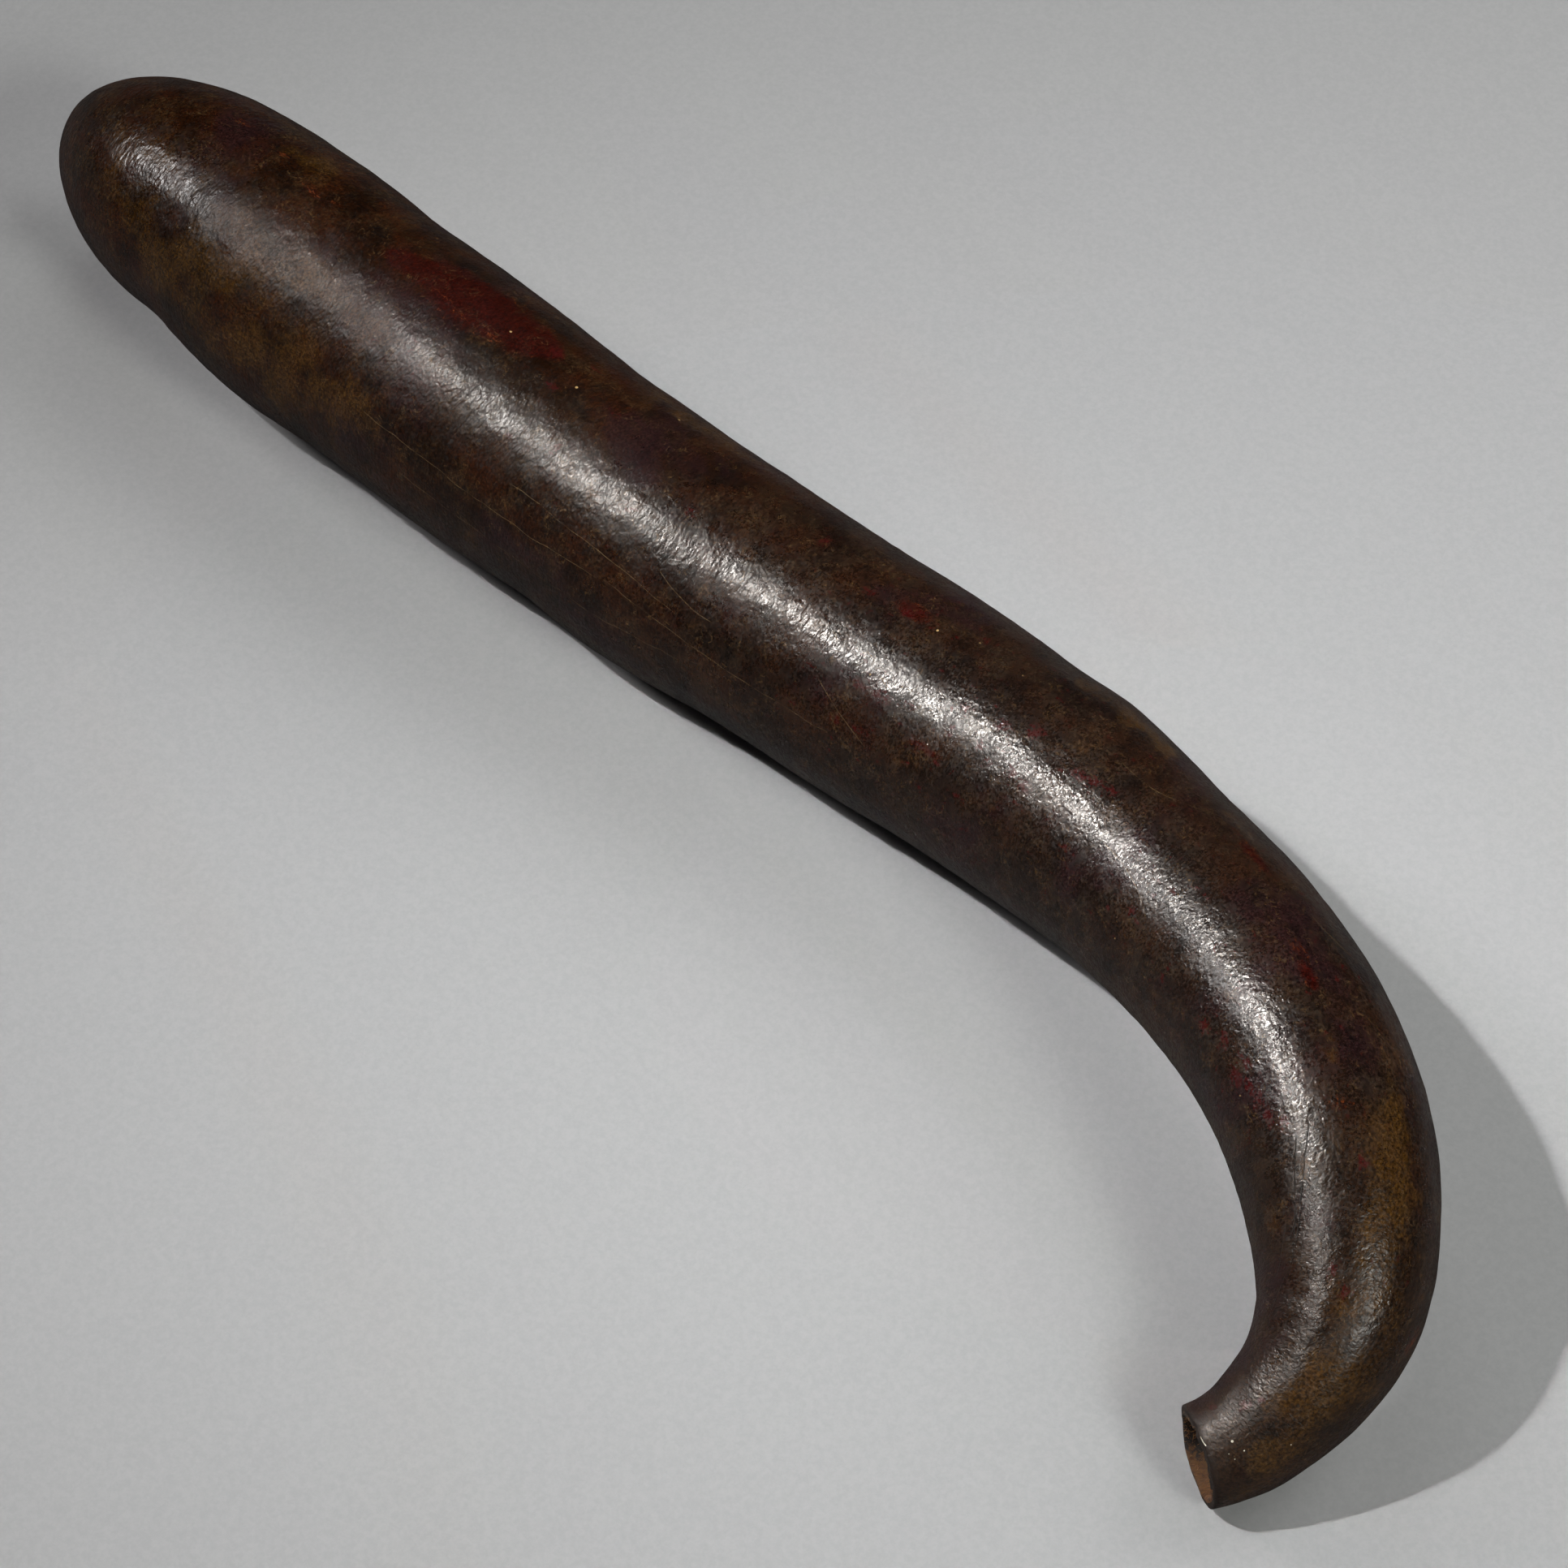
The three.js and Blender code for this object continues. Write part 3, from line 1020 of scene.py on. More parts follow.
    def _dulled(self, bench: Bench, grown: Feed) -> Socket:
        """The polish's roughness: pits, dull stretches, matt dust and the glancing edge.

        Args:
            bench: The material's bench.
            grown: Coordinates that follow the grown skin.

        Returns:
            The roughness's socket.
        """
        pits = bench.times(self.pits.mask(bench, bench.stretch(grown, self.pits_drawn)), self.pit_extra)
        uneven = bench.plus(self.polish.mask(bench, grown), pits)
        dull = bench.times(bench.named("dull"), self.dull_extra)
        rough = bench.plus(dull, bench.plus(uneven, self.roughness))
        frayed = bench.swung(self.frayed.value(bench, grown), self.frayed_reach)
        matt = bench.ramp(bench.plus(bench.named("dust_and_sheen"), frayed), 0.0, 1.1)
        rough = bench.plus(rough, bench.times(matt, self.matt_extra))
        facing = bench.put("ShaderNodeLayerWeight", {"Blend": 0.35}).outputs["Facing"]
        return bench.plus(rough, bench.times(bench.ramp(facing, 0.35, 0.95), self.glancing_extra))

    def _crinkle(self, bench: Bench, grown: Feed, scratch: Feed, crack: Feed) -> Socket:
        """The crinkled, foil-like surface, finer than the mesh can carry.

        Args:
            bench: The material's bench.
            grown: Coordinates that follow the grown skin.
            scratch: The scratches' mask.
            crack: The cracks' mask.

        Returns:
            The height in millimetres.
        """
        along = bench.put("ShaderNodeSeparateXYZ", {0: grown}).outputs["X"]
        neckward = bench.ramp(along, *self.neck_crinkle)
        height: Feed = 0.0
        for ripple in self.ripples:
            rise = bench.ramp(neckward, 0.0, 1.0, ripple.on_body, ripple.on_neck)
            shape = ripple.pattern.value(bench, bench.stretch(grown, ripple.drawn))
            height = bench.plus(height, bench.times(shape, rise))
        height = bench.times(height, self.swell.mask(bench, grown))
        height = bench.minus(height, bench.times(scratch, self.scratch_depth))
        return bench.minus(height, bench.times(crack, self.crack_depth))


@dataclass(frozen=True)
class WoodyLining:
    """The dry inside of the rind: smooth and tan on one side, dark and torn on the other, with painted shade
    darkening it further in.
    """

    tan: Colour = (0.1600, 0.0640, 0.0150)
    brown: Colour = (0.0800, 0.0270, 0.0060)
    torn: Colour = (0.3400, 0.1350, 0.0350)
    # Dark ground of the torn side, and the painted shade that darkens the lining further in.
    darkening: Colour = (0.0120, 0.0062, 0.0034)
    roughness: float = 0.85
    mottle_drawn: Triple = (0.45, 1.0, 1.0)
    mottle: Clouds = Clouds(900.0, 0.7, 0.34, 0.62, 41.0)
    mottle_depth: float = 0.10
    thread_drawn: Triple = (0.6, 1.0, 1.0)
    threads: Hairs = Hairs(520.0, 0.05, 0.46, 43.0)
    thread_share: float = 0.7
    thread_depth: float = 0.20
    ragged: Pattern = Pattern(170.0, 4.0, 0.7, 42.0)
    ragged_reach: float = 1.6

    def material(self, effects: Effects) -> bpy.types.Material:
        """Builds the finish.

        Args:
            effects: The shared shader groups.

        Returns:
            The material.
        """
        made, bench = blank_material("gourd woody lining")
        grown = bench.named("straight", "Vector")
        mottle = self.mottle.cover(bench, effects, bench.stretch(grown, self.mottle_drawn))
        smooth = bench.tint(mottle, opaque(self.brown), opaque(self.tan))
        threads = self.threads.cover(bench, effects, bench.stretch(grown, self.thread_drawn))
        torn = bench.tint(bench.times(threads, self.thread_share), opaque(self.darkening), opaque(self.torn))
        wander = bench.swung(self.ragged.value(bench, grown), self.ragged_reach)
        side = bench.ramp(bench.plus(bench.named("tan_side"), wander), 0.66, 0.80)
        colour = bench.tint(side, torn, smooth)
        # Painted shade: the lining darkens towards the deep inside.
        colour = bench.tint(bench.ramp(bench.named("inward"), 0.25, 0.9), colour, opaque(self.darkening))
        height = bench.plus(bench.times(mottle, self.mottle_depth), bench.times(threads, self.thread_depth))
        bench.shade({"Base Color": colour, "Roughness": self.roughness, "Normal": bench.bump(height)})
        return made


@dataclass(frozen=True)
class TornFibre:
    """Dry strands torn from the lining."""

    pale: Colour = (0.4200, 0.1800, 0.0500)
    dark: Colour = (0.0900, 0.0340, 0.0100)
    roughness: float = 0.75
    mottle: Clouds = Clouds(420.0, 0.6, 0.38, 0.62, 51.0)

    def material(self, effects: Effects) -> bpy.types.Material:
        """Builds the finish.

        Args:
            effects: The shared shader groups.

        Returns:
            The material.
        """
        made, bench = blank_material("gourd torn fibre")
        place = bench.put("ShaderNodeTexCoord").outputs["Object"]
        colour = bench.tint(self.mottle.cover(bench, effects, place), opaque(self.dark), opaque(self.pale))
        bench.shade({"Base Color": colour, "Roughness": self.roughness})
        return made


@dataclass(frozen=True)
class FloorPaper:
    """Plain pale grey backing paper, a little mottled, and dimmer where the gourd mirrors it."""

    light: Colour = (0.475, 0.475, 0.478)
    dim: Colour = (0.435, 0.435, 0.440)
    in_reflections: Colour = (0.135, 0.132, 0.132)
    roughness: float = 0.9
    shine: float = 0.2
    mottle: Clouds = Clouds(420.0, 0.7, 0.3, 0.7, 61.0)

    def material(self, effects: Effects) -> bpy.types.Material:
        """Builds the finish.

        Args:
            effects: The shared shader groups.

        Returns:
            The material.
        """
        made, bench = blank_material("floor paper")
        place = bench.put("ShaderNodeTexCoord").outputs["Object"]
        paper = bench.tint(self.mottle.cover(bench, effects, place), opaque(self.dim), opaque(self.light))
        mirrored = bench.put("ShaderNodeLightPath").outputs["Is Glossy Ray"]
        colour = bench.tint(mirrored, paper, opaque(self.in_reflections))
        bench.shade({"Base Color": colour, "Roughness": self.roughness, "Specular IOR Level": self.shine})
        return made


# Pieces


def stand(name: str, data: bpy.types.ID) -> bpy.types.Object:
    """Puts a new object into the scene.

    Args:
        name: The object's name.
        data: Its mesh, camera or lamp.

    Returns:
        The object, at the origin.
    """
    made = bpy.data.objects.new(name, data)
    bpy.context.scene.collection.objects.link(made)
    return made


def bake(piece: bpy.types.Object) -> None:
    """Turns a piece's modifiers into plain mesh.

    Args:
        piece: The piece, which loses its modifiers.
    """
    graph = bpy.context.evaluated_depsgraph_get()
    plain = bpy.data.meshes.new_from_object(piece.evaluated_get(graph), preserve_all_data_layers=True,
                                            depsgraph=graph)
    piece.modifiers.clear()
    rough = piece.data
    piece.data = plain
    plain.name = piece.name
    bpy.data.meshes.remove(rough)


def keep_inside(piece: bpy.types.Object) -> None:
    """Presses any vertex that the relief has pushed out back on to the model's box.

    Args:
        piece: The piece.
    """
    mesh = piece.data
    places = np.empty(len(mesh.vertices) * 3)
    mesh.vertices.foreach_get("co", places)
    low, high = (np.array(corner) for corner in CAD_BOX)
    mesh.vertices.foreach_set("co", np.clip(places.reshape(-1, 3), low, high).ravel())
    mesh.update()


def report(piece: bpy.types.Object) -> None:
    """Logs one piece's size.

    Args:
        piece: The piece.
    """
    mesh = piece.data
    mesh.calc_loop_triangles()
    LOG.info("%s: %d vertices, %d triangles", piece.name, len(mesh.vertices), len(mesh.loop_triangles))


def as_modifier(piece: bpy.types.Object, tree: bpy.types.NodeTree, values: dict[str, float]) -> None:
    """Puts a Geometry Nodes tree on a piece.

    Args:
        piece: The piece.
        tree: The tree.
        values: The tree's named inputs.
    """
    modifier = piece.modifiers.new(tree.name, "NODES")
    modifier.node_group = tree
    for item in tree.interface.items_tree:
        if item.item_type == "SOCKET" and item.in_out == "INPUT" and item.name in values:
            modifier[item.identifier] = values[item.name]


def geometry_tree(name: str, numbers: dict[str, float]) -> tuple[bpy.types.NodeTree, Bench, Sockets, Socket]:
    """An empty Geometry Nodes tree with named numbers.

    Args:
        name: The tree's name.
        numbers: Each number's first value, by name.

    Returns:
        The tree, a bench on it, what it is given and the socket that the result goes into.
    """
    tree = bpy.data.node_groups.new(name, "GeometryNodeTree")
    tree.interface.new_socket("Geometry", in_out="INPUT", socket_type="NodeSocketGeometry")
    for label, value in numbers.items():
        socket = tree.interface.new_socket(label, in_out="INPUT", socket_type="NodeSocketFloat")
        socket.default_value = value
    tree.interface.new_socket("Geometry", in_out="OUTPUT", socket_type="NodeSocketGeometry")
    bench = Bench(tree)
    return tree, bench, bench.put("NodeGroupInput").outputs, bench.put("NodeGroupOutput").inputs[0]


def carried(bench: Bench, name: str, kind: str = "FLOAT") -> Socket:
    """A named attribute's socket in a Geometry Nodes tree."""
    return bench.put("GeometryNodeInputNamedAttribute", {"Name": name}, data_type=kind).outputs["Attribute"]


@dataclass(frozen=True)
class ReliefLayer:
    """One layer of the skin's relief: its lumps' size and depth in millimetres, and how far they are warped."""

    name: str
    size: float
    depth: float
    warp: float


class Zone(Enum):
    """Which part of the shell a ring of vertices belongs to."""

    SKIN = "skin"
    RIM = "rim"
    BARE_RIM = "bare rim"
    LINING = "lining"


@dataclass(frozen=True)
class Ring:
    """One ring of vertices: its distance along, its radius and its zone."""

    along: float
    radius: float
    zone: Zone


@dataclass(frozen=True)
class Nick:
    """A place where the cut rim is worn or broken back. Degrees and millimetres."""

    degrees: float
    depth: float
    reach: float


@dataclass
class GourdShell:
    """The whole dried rind: skin, cut rim and lining as one closed mesh. Millimetres and degrees."""

    form: GourdForm = field(default_factory=GourdForm)
    worn: SkinMarks = field(default_factory=SkinMarks)
    sides: int = 150
    cap_rings: int = 36
    ring_step: float = 2.05
    lining_step: float = 8.0
    lining_step_mouth: float = 1.6
    lining_fine: float = 46.0
    rim_round: float = 1.1
    rim_flat_rings: int = 3
    # Where the lining's rings lie on the blossom end, as shares of the cap's length.
    cap_lining: tuple[float, ...] = (0.86, 0.72, 0.58, 0.44, 0.32, 0.22, 0.15)
    cap_thickening: float = 1.2
    nicks: tuple[Nick, ...] = (
        Nick(24, 0.6, 7), Nick(40, 0.4, 6), Nick(-6, 0.9, 5), Nick(-22, 0.3, 6), Nick(100, 0.4, 12),
        Nick(180, 0.5, 20), Nick(-100, 0.5, 18))
    # The slow waves of the cut edge: depth, how many go round, and phase in degrees.
    rim_waves: tuple[Triple, ...] = ((0.08, 3.0, 40.0), (0.06, 11.0, 0.0))
    worn_back: float = 4.0
    relief: tuple[ReliefLayer, ...] = (
        ReliefLayer("Lump", 60.0, 0.42, 0.2), ReliefLayer("Bead", 13.0, 0.27, 0.5),
        ReliefLayer("Pebble", 6.0, 0.09, 0.3))
    lining_relief: Pattern = Pattern(420.0, 3.0, 0.6, 30.0, warp=0.4)
    lining_drawn: Triple = (0.35, 1.0, 1.0)
    lining_depth: float = 0.7
    seed: float = 4.0
    # Where the smooth tan side of the lining lies, and how far in the painted shade deepens.
    tan_degrees: float = 150.0
    dark_inside: float = 40.0

    def rings(self) -> list[Ring]:
        """Every ring from the blossom tip over the rim and back inside.

        Returns:
            The rings in order.
        """
        form = self.form
        rings = []

        def add(along: float, inset: float, zone: Zone) -> None:
            """Adds one ring, inset from the skin."""
            rings.append(Ring(along, float(form.outer_radius(np.array(along))) - inset, zone))

        def line(along: float) -> None:
            """Adds one ring of the lining."""
            add(along, float(form.wall(along)), Zone.LINING)

        def rounding(turn: float) -> tuple[float, float]:
            """How far the rim's rounded edge lies behind the cut and inside the skin at a turn."""
            angle = math.radians(turn)
            return self.rim_round * (math.sin(angle) - 1), self.rim_round * (1 - math.cos(angle))

        for i in range(1, self.cap_rings + 1):
            add(form.cap_length * (1 - math.cos(math.pi / 2 * i / self.cap_rings)), 0.0, Zone.SKIN)
        straight = form.mouth_at - self.rim_round - form.cap_length
        count = round(straight / self.ring_step)
        for i in range(1, count + 1):
            add(form.cap_length + straight * i / count, 0.0, Zone.SKIN)
        for turn in (30, 60, 90):
            behind, inset = rounding(turn)
            add(form.mouth_at + behind, inset, Zone.RIM)
        flat = form.wall_mouth - 2 * self.rim_round
        for i in range(1, self.rim_flat_rings + 1):
            zone = Zone.RIM if i < self.rim_flat_rings else Zone.BARE_RIM
            add(form.mouth_at, self.rim_round + flat * i / self.rim_flat_rings, zone)
        for turn in (60, 30, 0):
            behind, inset = rounding(turn)
            add(form.mouth_at + behind, form.wall_mouth - inset, Zone.BARE_RIM)
        deep = form.mouth_at - self.rim_round
        fine = round(self.lining_fine / self.lining_step_mouth)
        for i in range(1, fine + 1):
            line(deep - self.lining_step_mouth * i)
        start = deep - self.lining_step_mouth * fine
        coarse = round((start - form.cap_length) / self.lining_step)
        for i in range(1, coarse + 1):
            line(start - (start - form.cap_length) * i / coarse)
        for share in self.cap_lining:
            line(form.cap_length * share)
        return rings

    def build(self, finishes: dict[str, bpy.types.Material]) -> bpy.types.Object:
        """Makes the shell with its relief.

        Args:
            finishes: The rind and lining materials.

        Returns:
            The finished piece.
        """
        rings = self.rings()
        turns = np.linspace(-180.0, 180.0, self.sides, endpoint=False)
        along = np.repeat(np.array([ring.along for ring in rings])[:, None], self.sides, axis=1)
        radius = np.repeat(np.array([ring.radius for ring in rings])[:, None], self.sides, axis=1)
        degrees = np.repeat(turns[None, :], len(rings), axis=0)
        along = along - self._nick_depth(along, degrees)
        # The last two vertices close the skin and the lining at the blossom tip.
        flat_along = np.concatenate([along.ravel(), [0.0, self.form.wall_body * self.cap_thickening]])
        flat_degrees = np.concatenate([degrees.ravel(), [0.0, 0.0]])
        flat_radius = np.concatenate([radius.ravel(), [0.0, 0.0]])
        points, slanted = self.form.place(flat_along, flat_degrees, flat_radius)

        mesh = bpy.data.meshes.new("gourd_rind")
        mesh.from_pydata(points.tolist(), [], self._faces(len(rings)))
        mesh.update()
        cut_side = np.concatenate([np.repeat([ring.along for ring in rings], self.sides), [0.0, 0.0]])
        self._carry(mesh, rings, slanted, flat_degrees, flat_radius, self.form.mouth_at - cut_side)
        self._flatten(mesh, slanted, flat_degrees)
        mesh.shade_smooth()
        piece = stand("gourd_rind", mesh)
        sizes = {"Lining Depth": self.lining_depth * MM, "Seed": self.seed}
        for layer in self.relief:
            sizes |= {f"{layer.name} Size": layer.size * MM, f"{layer.name} Depth": layer.depth * MM}
        as_modifier(piece, self._relief_tree(finishes, sizes), sizes)
        bake(piece)
        keep_inside(piece)
        return piece

    def dress(self, piece: bpy.types.Object) -> None:
        """Puts the shell in its node's place and on its body.

        Args:
            piece: The finished shell.
        """
        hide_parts(NODE)
        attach(piece, BODY)

    def _nick_depth(self, along: np.ndarray, degrees: np.ndarray) -> np.ndarray:
        """How far the rim is worn back.

        Args:
            along: Distances from the blossom tip.
            degrees: Angles round the centre line.

        Returns:
            The set-back at each place, fading out behind the rim.
        """
        depth = np.zeros_like(degrees)
        for height, count, phase in self.rim_waves:
            depth += height * (1 + np.sin(np.radians(degrees * count + phase)))
        for nick in self.nicks:
            depth = depth + nick.depth * np.exp(-(turn_between(degrees, nick.degrees) / nick.reach) ** 2)
        cut = self.form.mouth_at
        return depth * smooth_step(along, cut - self.worn_back, cut - self.rim_round)

    def _faces(self, rows: int) -> list[tuple[int, ...]]:
        """The shell's faces, closed at both tips.

        Args:
            rows: How many rings there are.

        Returns:
            The corners of each face, in order.
        """
        sides = self.sides
        faces = []
        outer_tip, inner_tip = rows * sides, rows * sides + 1
        for j in range(sides):
            k = (j + 1) % sides
            faces.append((outer_tip, j, k))
            for i in range(rows - 1):
                a, b = i * sides, (i + 1) * sides
                faces.append((a + j, b + j, b + k, a + k))
            last = (rows - 1) * sides
            faces.append((last + j, inner_tip, last + k))
        return faces

    def _carry(self, mesh: bpy.types.Mesh, rings: list[Ring], along: np.ndarray, degrees: np.ndarray,
               radius: np.ndarray, from_cut: np.ndarray) -> None:
        """Stores on the mesh's vertices what the relief and the finishes read.

        Args:
            mesh: The shell's mesh.
            rings: Its rings.
            along: Each vertex's distance along.
            degrees: Each vertex's angle.
            radius: Each vertex's distance from the centre line.
            from_cut: Each vertex's distance behind the cut rim.
        """
        turn = np.radians(degrees)
        straight = np.stack([along, radius * np.sin(turn), radius * np.cos(turn)], axis=1) * MM
        mesh.attributes.new("straight", "FLOAT_VECTOR", "POINT").data.foreach_set("vector", straight.ravel())
        zones = np.repeat([ring.zone in (Zone.SKIN, Zone.RIM) for ring in rings], self.sides)
        skin = np.concatenate([zones, [True, False]]).astype(float)
        outside = self._skin_radius(along)
        worn = self.worn
        values = {
            "skin": skin,
            "ochre": worn.soft(worn.ochre, along, degrees, outside),
            "dust_and_sheen": worn.soft(worn.dust_and_sheen, along, degrees, outside),
            "red_wear": worn.soft(worn.red_wear, along, degrees, outside),
            "fleck_near": worn.nearest(worn.flecks, along, degrees, outside),
            "rust_near": worn.nearest(worn.rust, along, degrees, outside),
            "rim": smooth_step(-from_cut, -3.2, -0.8),
            "tan_side": 0.5 + 0.5 * np.cos(np.radians(turn_between(degrees, self.tan_degrees))),
            "dull": np.interp(along, *np.array(worn.dullness).T),
            "fleck_zone": np.interp(along, *np.array(worn.fleck_zone).T),
            "inward": np.clip(from_cut / self.dark_inside, 0.0, 1.0),
        }
        for name, data in values.items():
            mesh.attributes.new(name, "FLOAT", "POINT").data.foreach_set("value", data.astype(np.float32))

    def _skin_radius(self, along: np.ndarray) -> np.ndarray:
        """The skin's radius at each vertex, never quite nothing."""
        return np.maximum(self.form.outer_radius(np.clip(along, 0.0, self.form.mouth_at)), 1.0)

    def _flatten(self, mesh: bpy.types.Mesh, along: np.ndarray, degrees: np.ndarray) -> None:
        """Rolls the skin out flat as the mesh's UV map, in metres along and round, with its seam underneath.

        Args:
            mesh: The shell's mesh.
            along: Each vertex's distance along.
            degrees: Each vertex's angle.
        """
        outside = self._skin_radius(along)
        corner_vertex = np.empty(len(mesh.loops), int)
        mesh.loops.foreach_get("vertex_index", corner_vertex)
        starts = np.empty(len(mesh.polygons), int)
        mesh.polygons.foreach_get("loop_start", starts)
        totals = np.empty(len(mesh.polygons), int)
        mesh.polygons.foreach_get("loop_total", totals)
        face_of = np.repeat(np.arange(len(totals)), totals)
        corner_turn = degrees[corner_vertex]
        lowest = np.minimum.reduceat(corner_turn, starts)[face_of]
        highest = np.maximum.reduceat(corner_turn, starts)[face_of]
        wraps = (highest - lowest > 180.0) & (corner_turn < 0)
        corner_turn = corner_turn + 360.0 * wraps
        flat = np.stack([along[corner_vertex], np.radians(corner_turn) * outside[corner_vertex]], axis=1) * MM
        mesh.uv_layers.new(name="skin_map").data.foreach_set("uv", flat.ravel())

    def _relief_tree(self, finishes: dict[str, bpy.types.Material],
                     sizes: dict[str, float]) -> bpy.types.NodeTree:
        """A Geometry Nodes tree that pebbles the skin, roughens the lining and sets both finishes.

        Args:
            finishes: The rind and lining materials.
            sizes: The tree's inputs by name.

        Returns:
            The tree.
        """
        tree, bench, given, result = geometry_tree("grown relief", sizes)
        grown = carried(bench, "straight", "FLOAT_VECTOR")
        skin = carried(bench, "skin")

        outside: Feed = 0.0
        for number, layer in reversed(list(enumerate(self.relief))):
            scale = bench.math("DIVIDE", 1.0, given[f"{layer.name} Size"])
            seed = bench.plus(given["Seed"], SEED_GAP * number)
            lumps = bench.noise(grown, scale, detail=1.5, rough=0.5, seed=seed, warp=layer.warp)
            sunk = bench.minus(bench.ramp(lumps, 0.25, 0.75), 1.0)
            outside = bench.plus(bench.times(sunk, given[f"{layer.name} Depth"]), outside)

        fibrous = self.lining_relief
        rough = bench.noise(bench.stretch(grown, self.lining_drawn), fibrous.per_metre, fibrous.layers,
                            fibrous.strength, bench.plus(given["Seed"], fibrous.seed), fibrous.warp)
        near = bench.ramp(carried(bench, "inward"), 0.0, 0.06)
        inside = bench.times(bench.swung(rough, near), given["Lining Depth"])
        amount = bench.put("ShaderNodeMix", {0: skin, 2: inside, 3: outside}, data_type="FLOAT").outputs[0]
        normal = bench.put("GeometryNodeInputNormal").outputs[0]
        offset = bench.put("ShaderNodeVectorMath", {0: normal, "Scale": amount}, operation="SCALE").outputs[0]
        moved = bench.put("GeometryNodeSetPosition", {
            "Geometry": given["Geometry"], "Offset": offset}).outputs[0]
        whole = bench.put("GeometryNodeRealizeInstances", {0: moved}).outputs[0]
        rind = bench.put("GeometryNodeSetMaterial", {
            "Geometry": whole, "Material": finishes["rind"]}).outputs[0]
        inner = bench.put("FunctionNodeCompare", {0: skin, 1: 0.99}, data_type="FLOAT", operation="LESS_THAN")
        lining = bench.put("GeometryNodeSetMaterial", {
            "Geometry": rind, "Selection": inner.outputs[0], "Material": finishes["lining"]})
        bench.feed(result, lining.outputs[0])
        return tree


@dataclass
class MouthFibres:
    """Torn strands that stand off the lining just inside the mouth. Millimetres."""

    shell: GourdShell
    strands_per_square_metre: float = 950000.0
    strand_length: float = 2.1
    strand_thickness: float = 0.085
    nearest_rim: float = 1.3
    furthest_in: float = 9.0
    off_lining: float = 0.05
    # Of a strand: how far it bows and its end leans as shares of its length, its tip's share of the
    # thickness, its greatest lean and spin in radians, and its least and greatest size by chance.
    bow: float = 0.22
    end_lean: float = 0.08
    tip_share: float = 0.35
    lean: float = 1.25
    spin: float = 3.14
    shortest: float = 0.35
    longest: float = 1.15
    torn_degrees: float = -95.0
    least_torn: float = 0.03
    patch_rows: int = 10
    patch_sides: int = 48
    seed: float = 9.0

    def build(self, finishes: dict[str, bpy.types.Material]) -> bpy.types.Object:
        """Grows the strands on a patch of the lining.

        Args:
            finishes: The fibre material.

        Returns:
            The finished piece.
        """
        form = self.shell.form
        rows = np.linspace(form.mouth_at - self.furthest_in, form.mouth_at - self.nearest_rim, self.patch_rows)
        turns = np.linspace(-180.0, 180.0, self.patch_sides, endpoint=False)
        along = np.repeat(rows[:, None], len(turns), axis=1)
        degrees = np.repeat(turns[None, :], len(rows), axis=0)
        radius = form.outer_radius(along) - form.wall(along) - self.off_lining
        points, _ = form.place(along.ravel(), degrees.ravel(), radius.ravel())
        faces = []
        for i in range(len(rows) - 1):
            for j in range(len(turns)):
                a, b, k = i * len(turns), (i + 1) * len(turns), (j + 1) % len(turns)
                faces.append((a + j, a + k, b + k, b + j))
        mesh = bpy.data.meshes.new("mouth_fibres")
        mesh.from_pydata(points.tolist(), [], faces)
        mesh.update()
        torn = np.cos(np.radians(turn_between(degrees.ravel(), self.torn_degrees)))
        torn = np.clip(torn, self.least_torn, 1.0)
        mesh.attributes.new("ragged", "FLOAT", "POINT").data.foreach_set("value", torn.astype(np.float32))
        piece = stand("mouth_fibres", mesh)
        sizes = {"Strands": self.strands_per_square_metre, "Length": self.strand_length * MM,
                 "Thickness": self.strand_thickness * MM, "Seed": self.seed}
        as_modifier(piece, self._strand_tree(finishes, sizes), sizes)
        bake(piece)
        keep_inside(piece)
        return piece

    def dress(self, piece: bpy.types.Object) -> None:
        """Puts the strands on the gourd's body.

        Args:
            piece: The finished strands.
        """
        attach(piece, BODY)

    def _strand_tree(self, finishes: dict[str, bpy.types.Material],
                     sizes: dict[str, float]) -> bpy.types.NodeTree:
        """A Geometry Nodes tree that scatters bent strands over a surface.

        Args:
            finishes: The fibre material.
            sizes: The tree's inputs by name.

        Returns:
            The tree.
        """
        tree, bench, given, result = geometry_tree("torn strands", sizes)
        density = bench.times(given["Strands"], carried(bench, "ragged"))
        seed = bench.put("FunctionNodeFloatToInt", {0: given["Seed"]}).outputs[0]
        scatter = bench.put("GeometryNodeDistributePointsOnFaces", {
            "Mesh": given["Geometry"], "Density": density, "Seed": seed})

        length = given["Length"]
        middle = bench.put("ShaderNodeCombineXYZ", {
            0: bench.times(length, self.bow), 2: bench.times(length, 0.5)})
        end = bench.put("ShaderNodeCombineXYZ", {0: bench.times(length, self.end_lean), 2: length})
        arc = bench.put("GeometryNodeCurveQuadraticBezier", {
            "Resolution": 4, "Start": (0.0, 0.0, 0.0), "Middle": middle.outputs[0], "End": end.outputs[0]})
        share = bench.put("GeometryNodeSplineParameter").outputs["Factor"]
        taper = bench.put("GeometryNodeSetCurveRadius", {
            "Curve": arc.outputs[0], "Radius": bench.ramp(share, 0.2, 1.0, 1.0, self.tip_share)})
        section = bench.put("GeometryNodeCurvePrimitiveCircle", {
            "Resolution": 4, "Radius": given["Thickness"]})
        strand = bench.put("GeometryNodeCurveToMesh", {
            "Curve": taper.outputs[0], "Profile Curve": section.outputs[0], "Fill Caps": True})
        if "Scale" in strand.inputs:
            bench.feed(strand.inputs["Scale"], bench.put("GeometryNodeInputRadius").outputs[0])

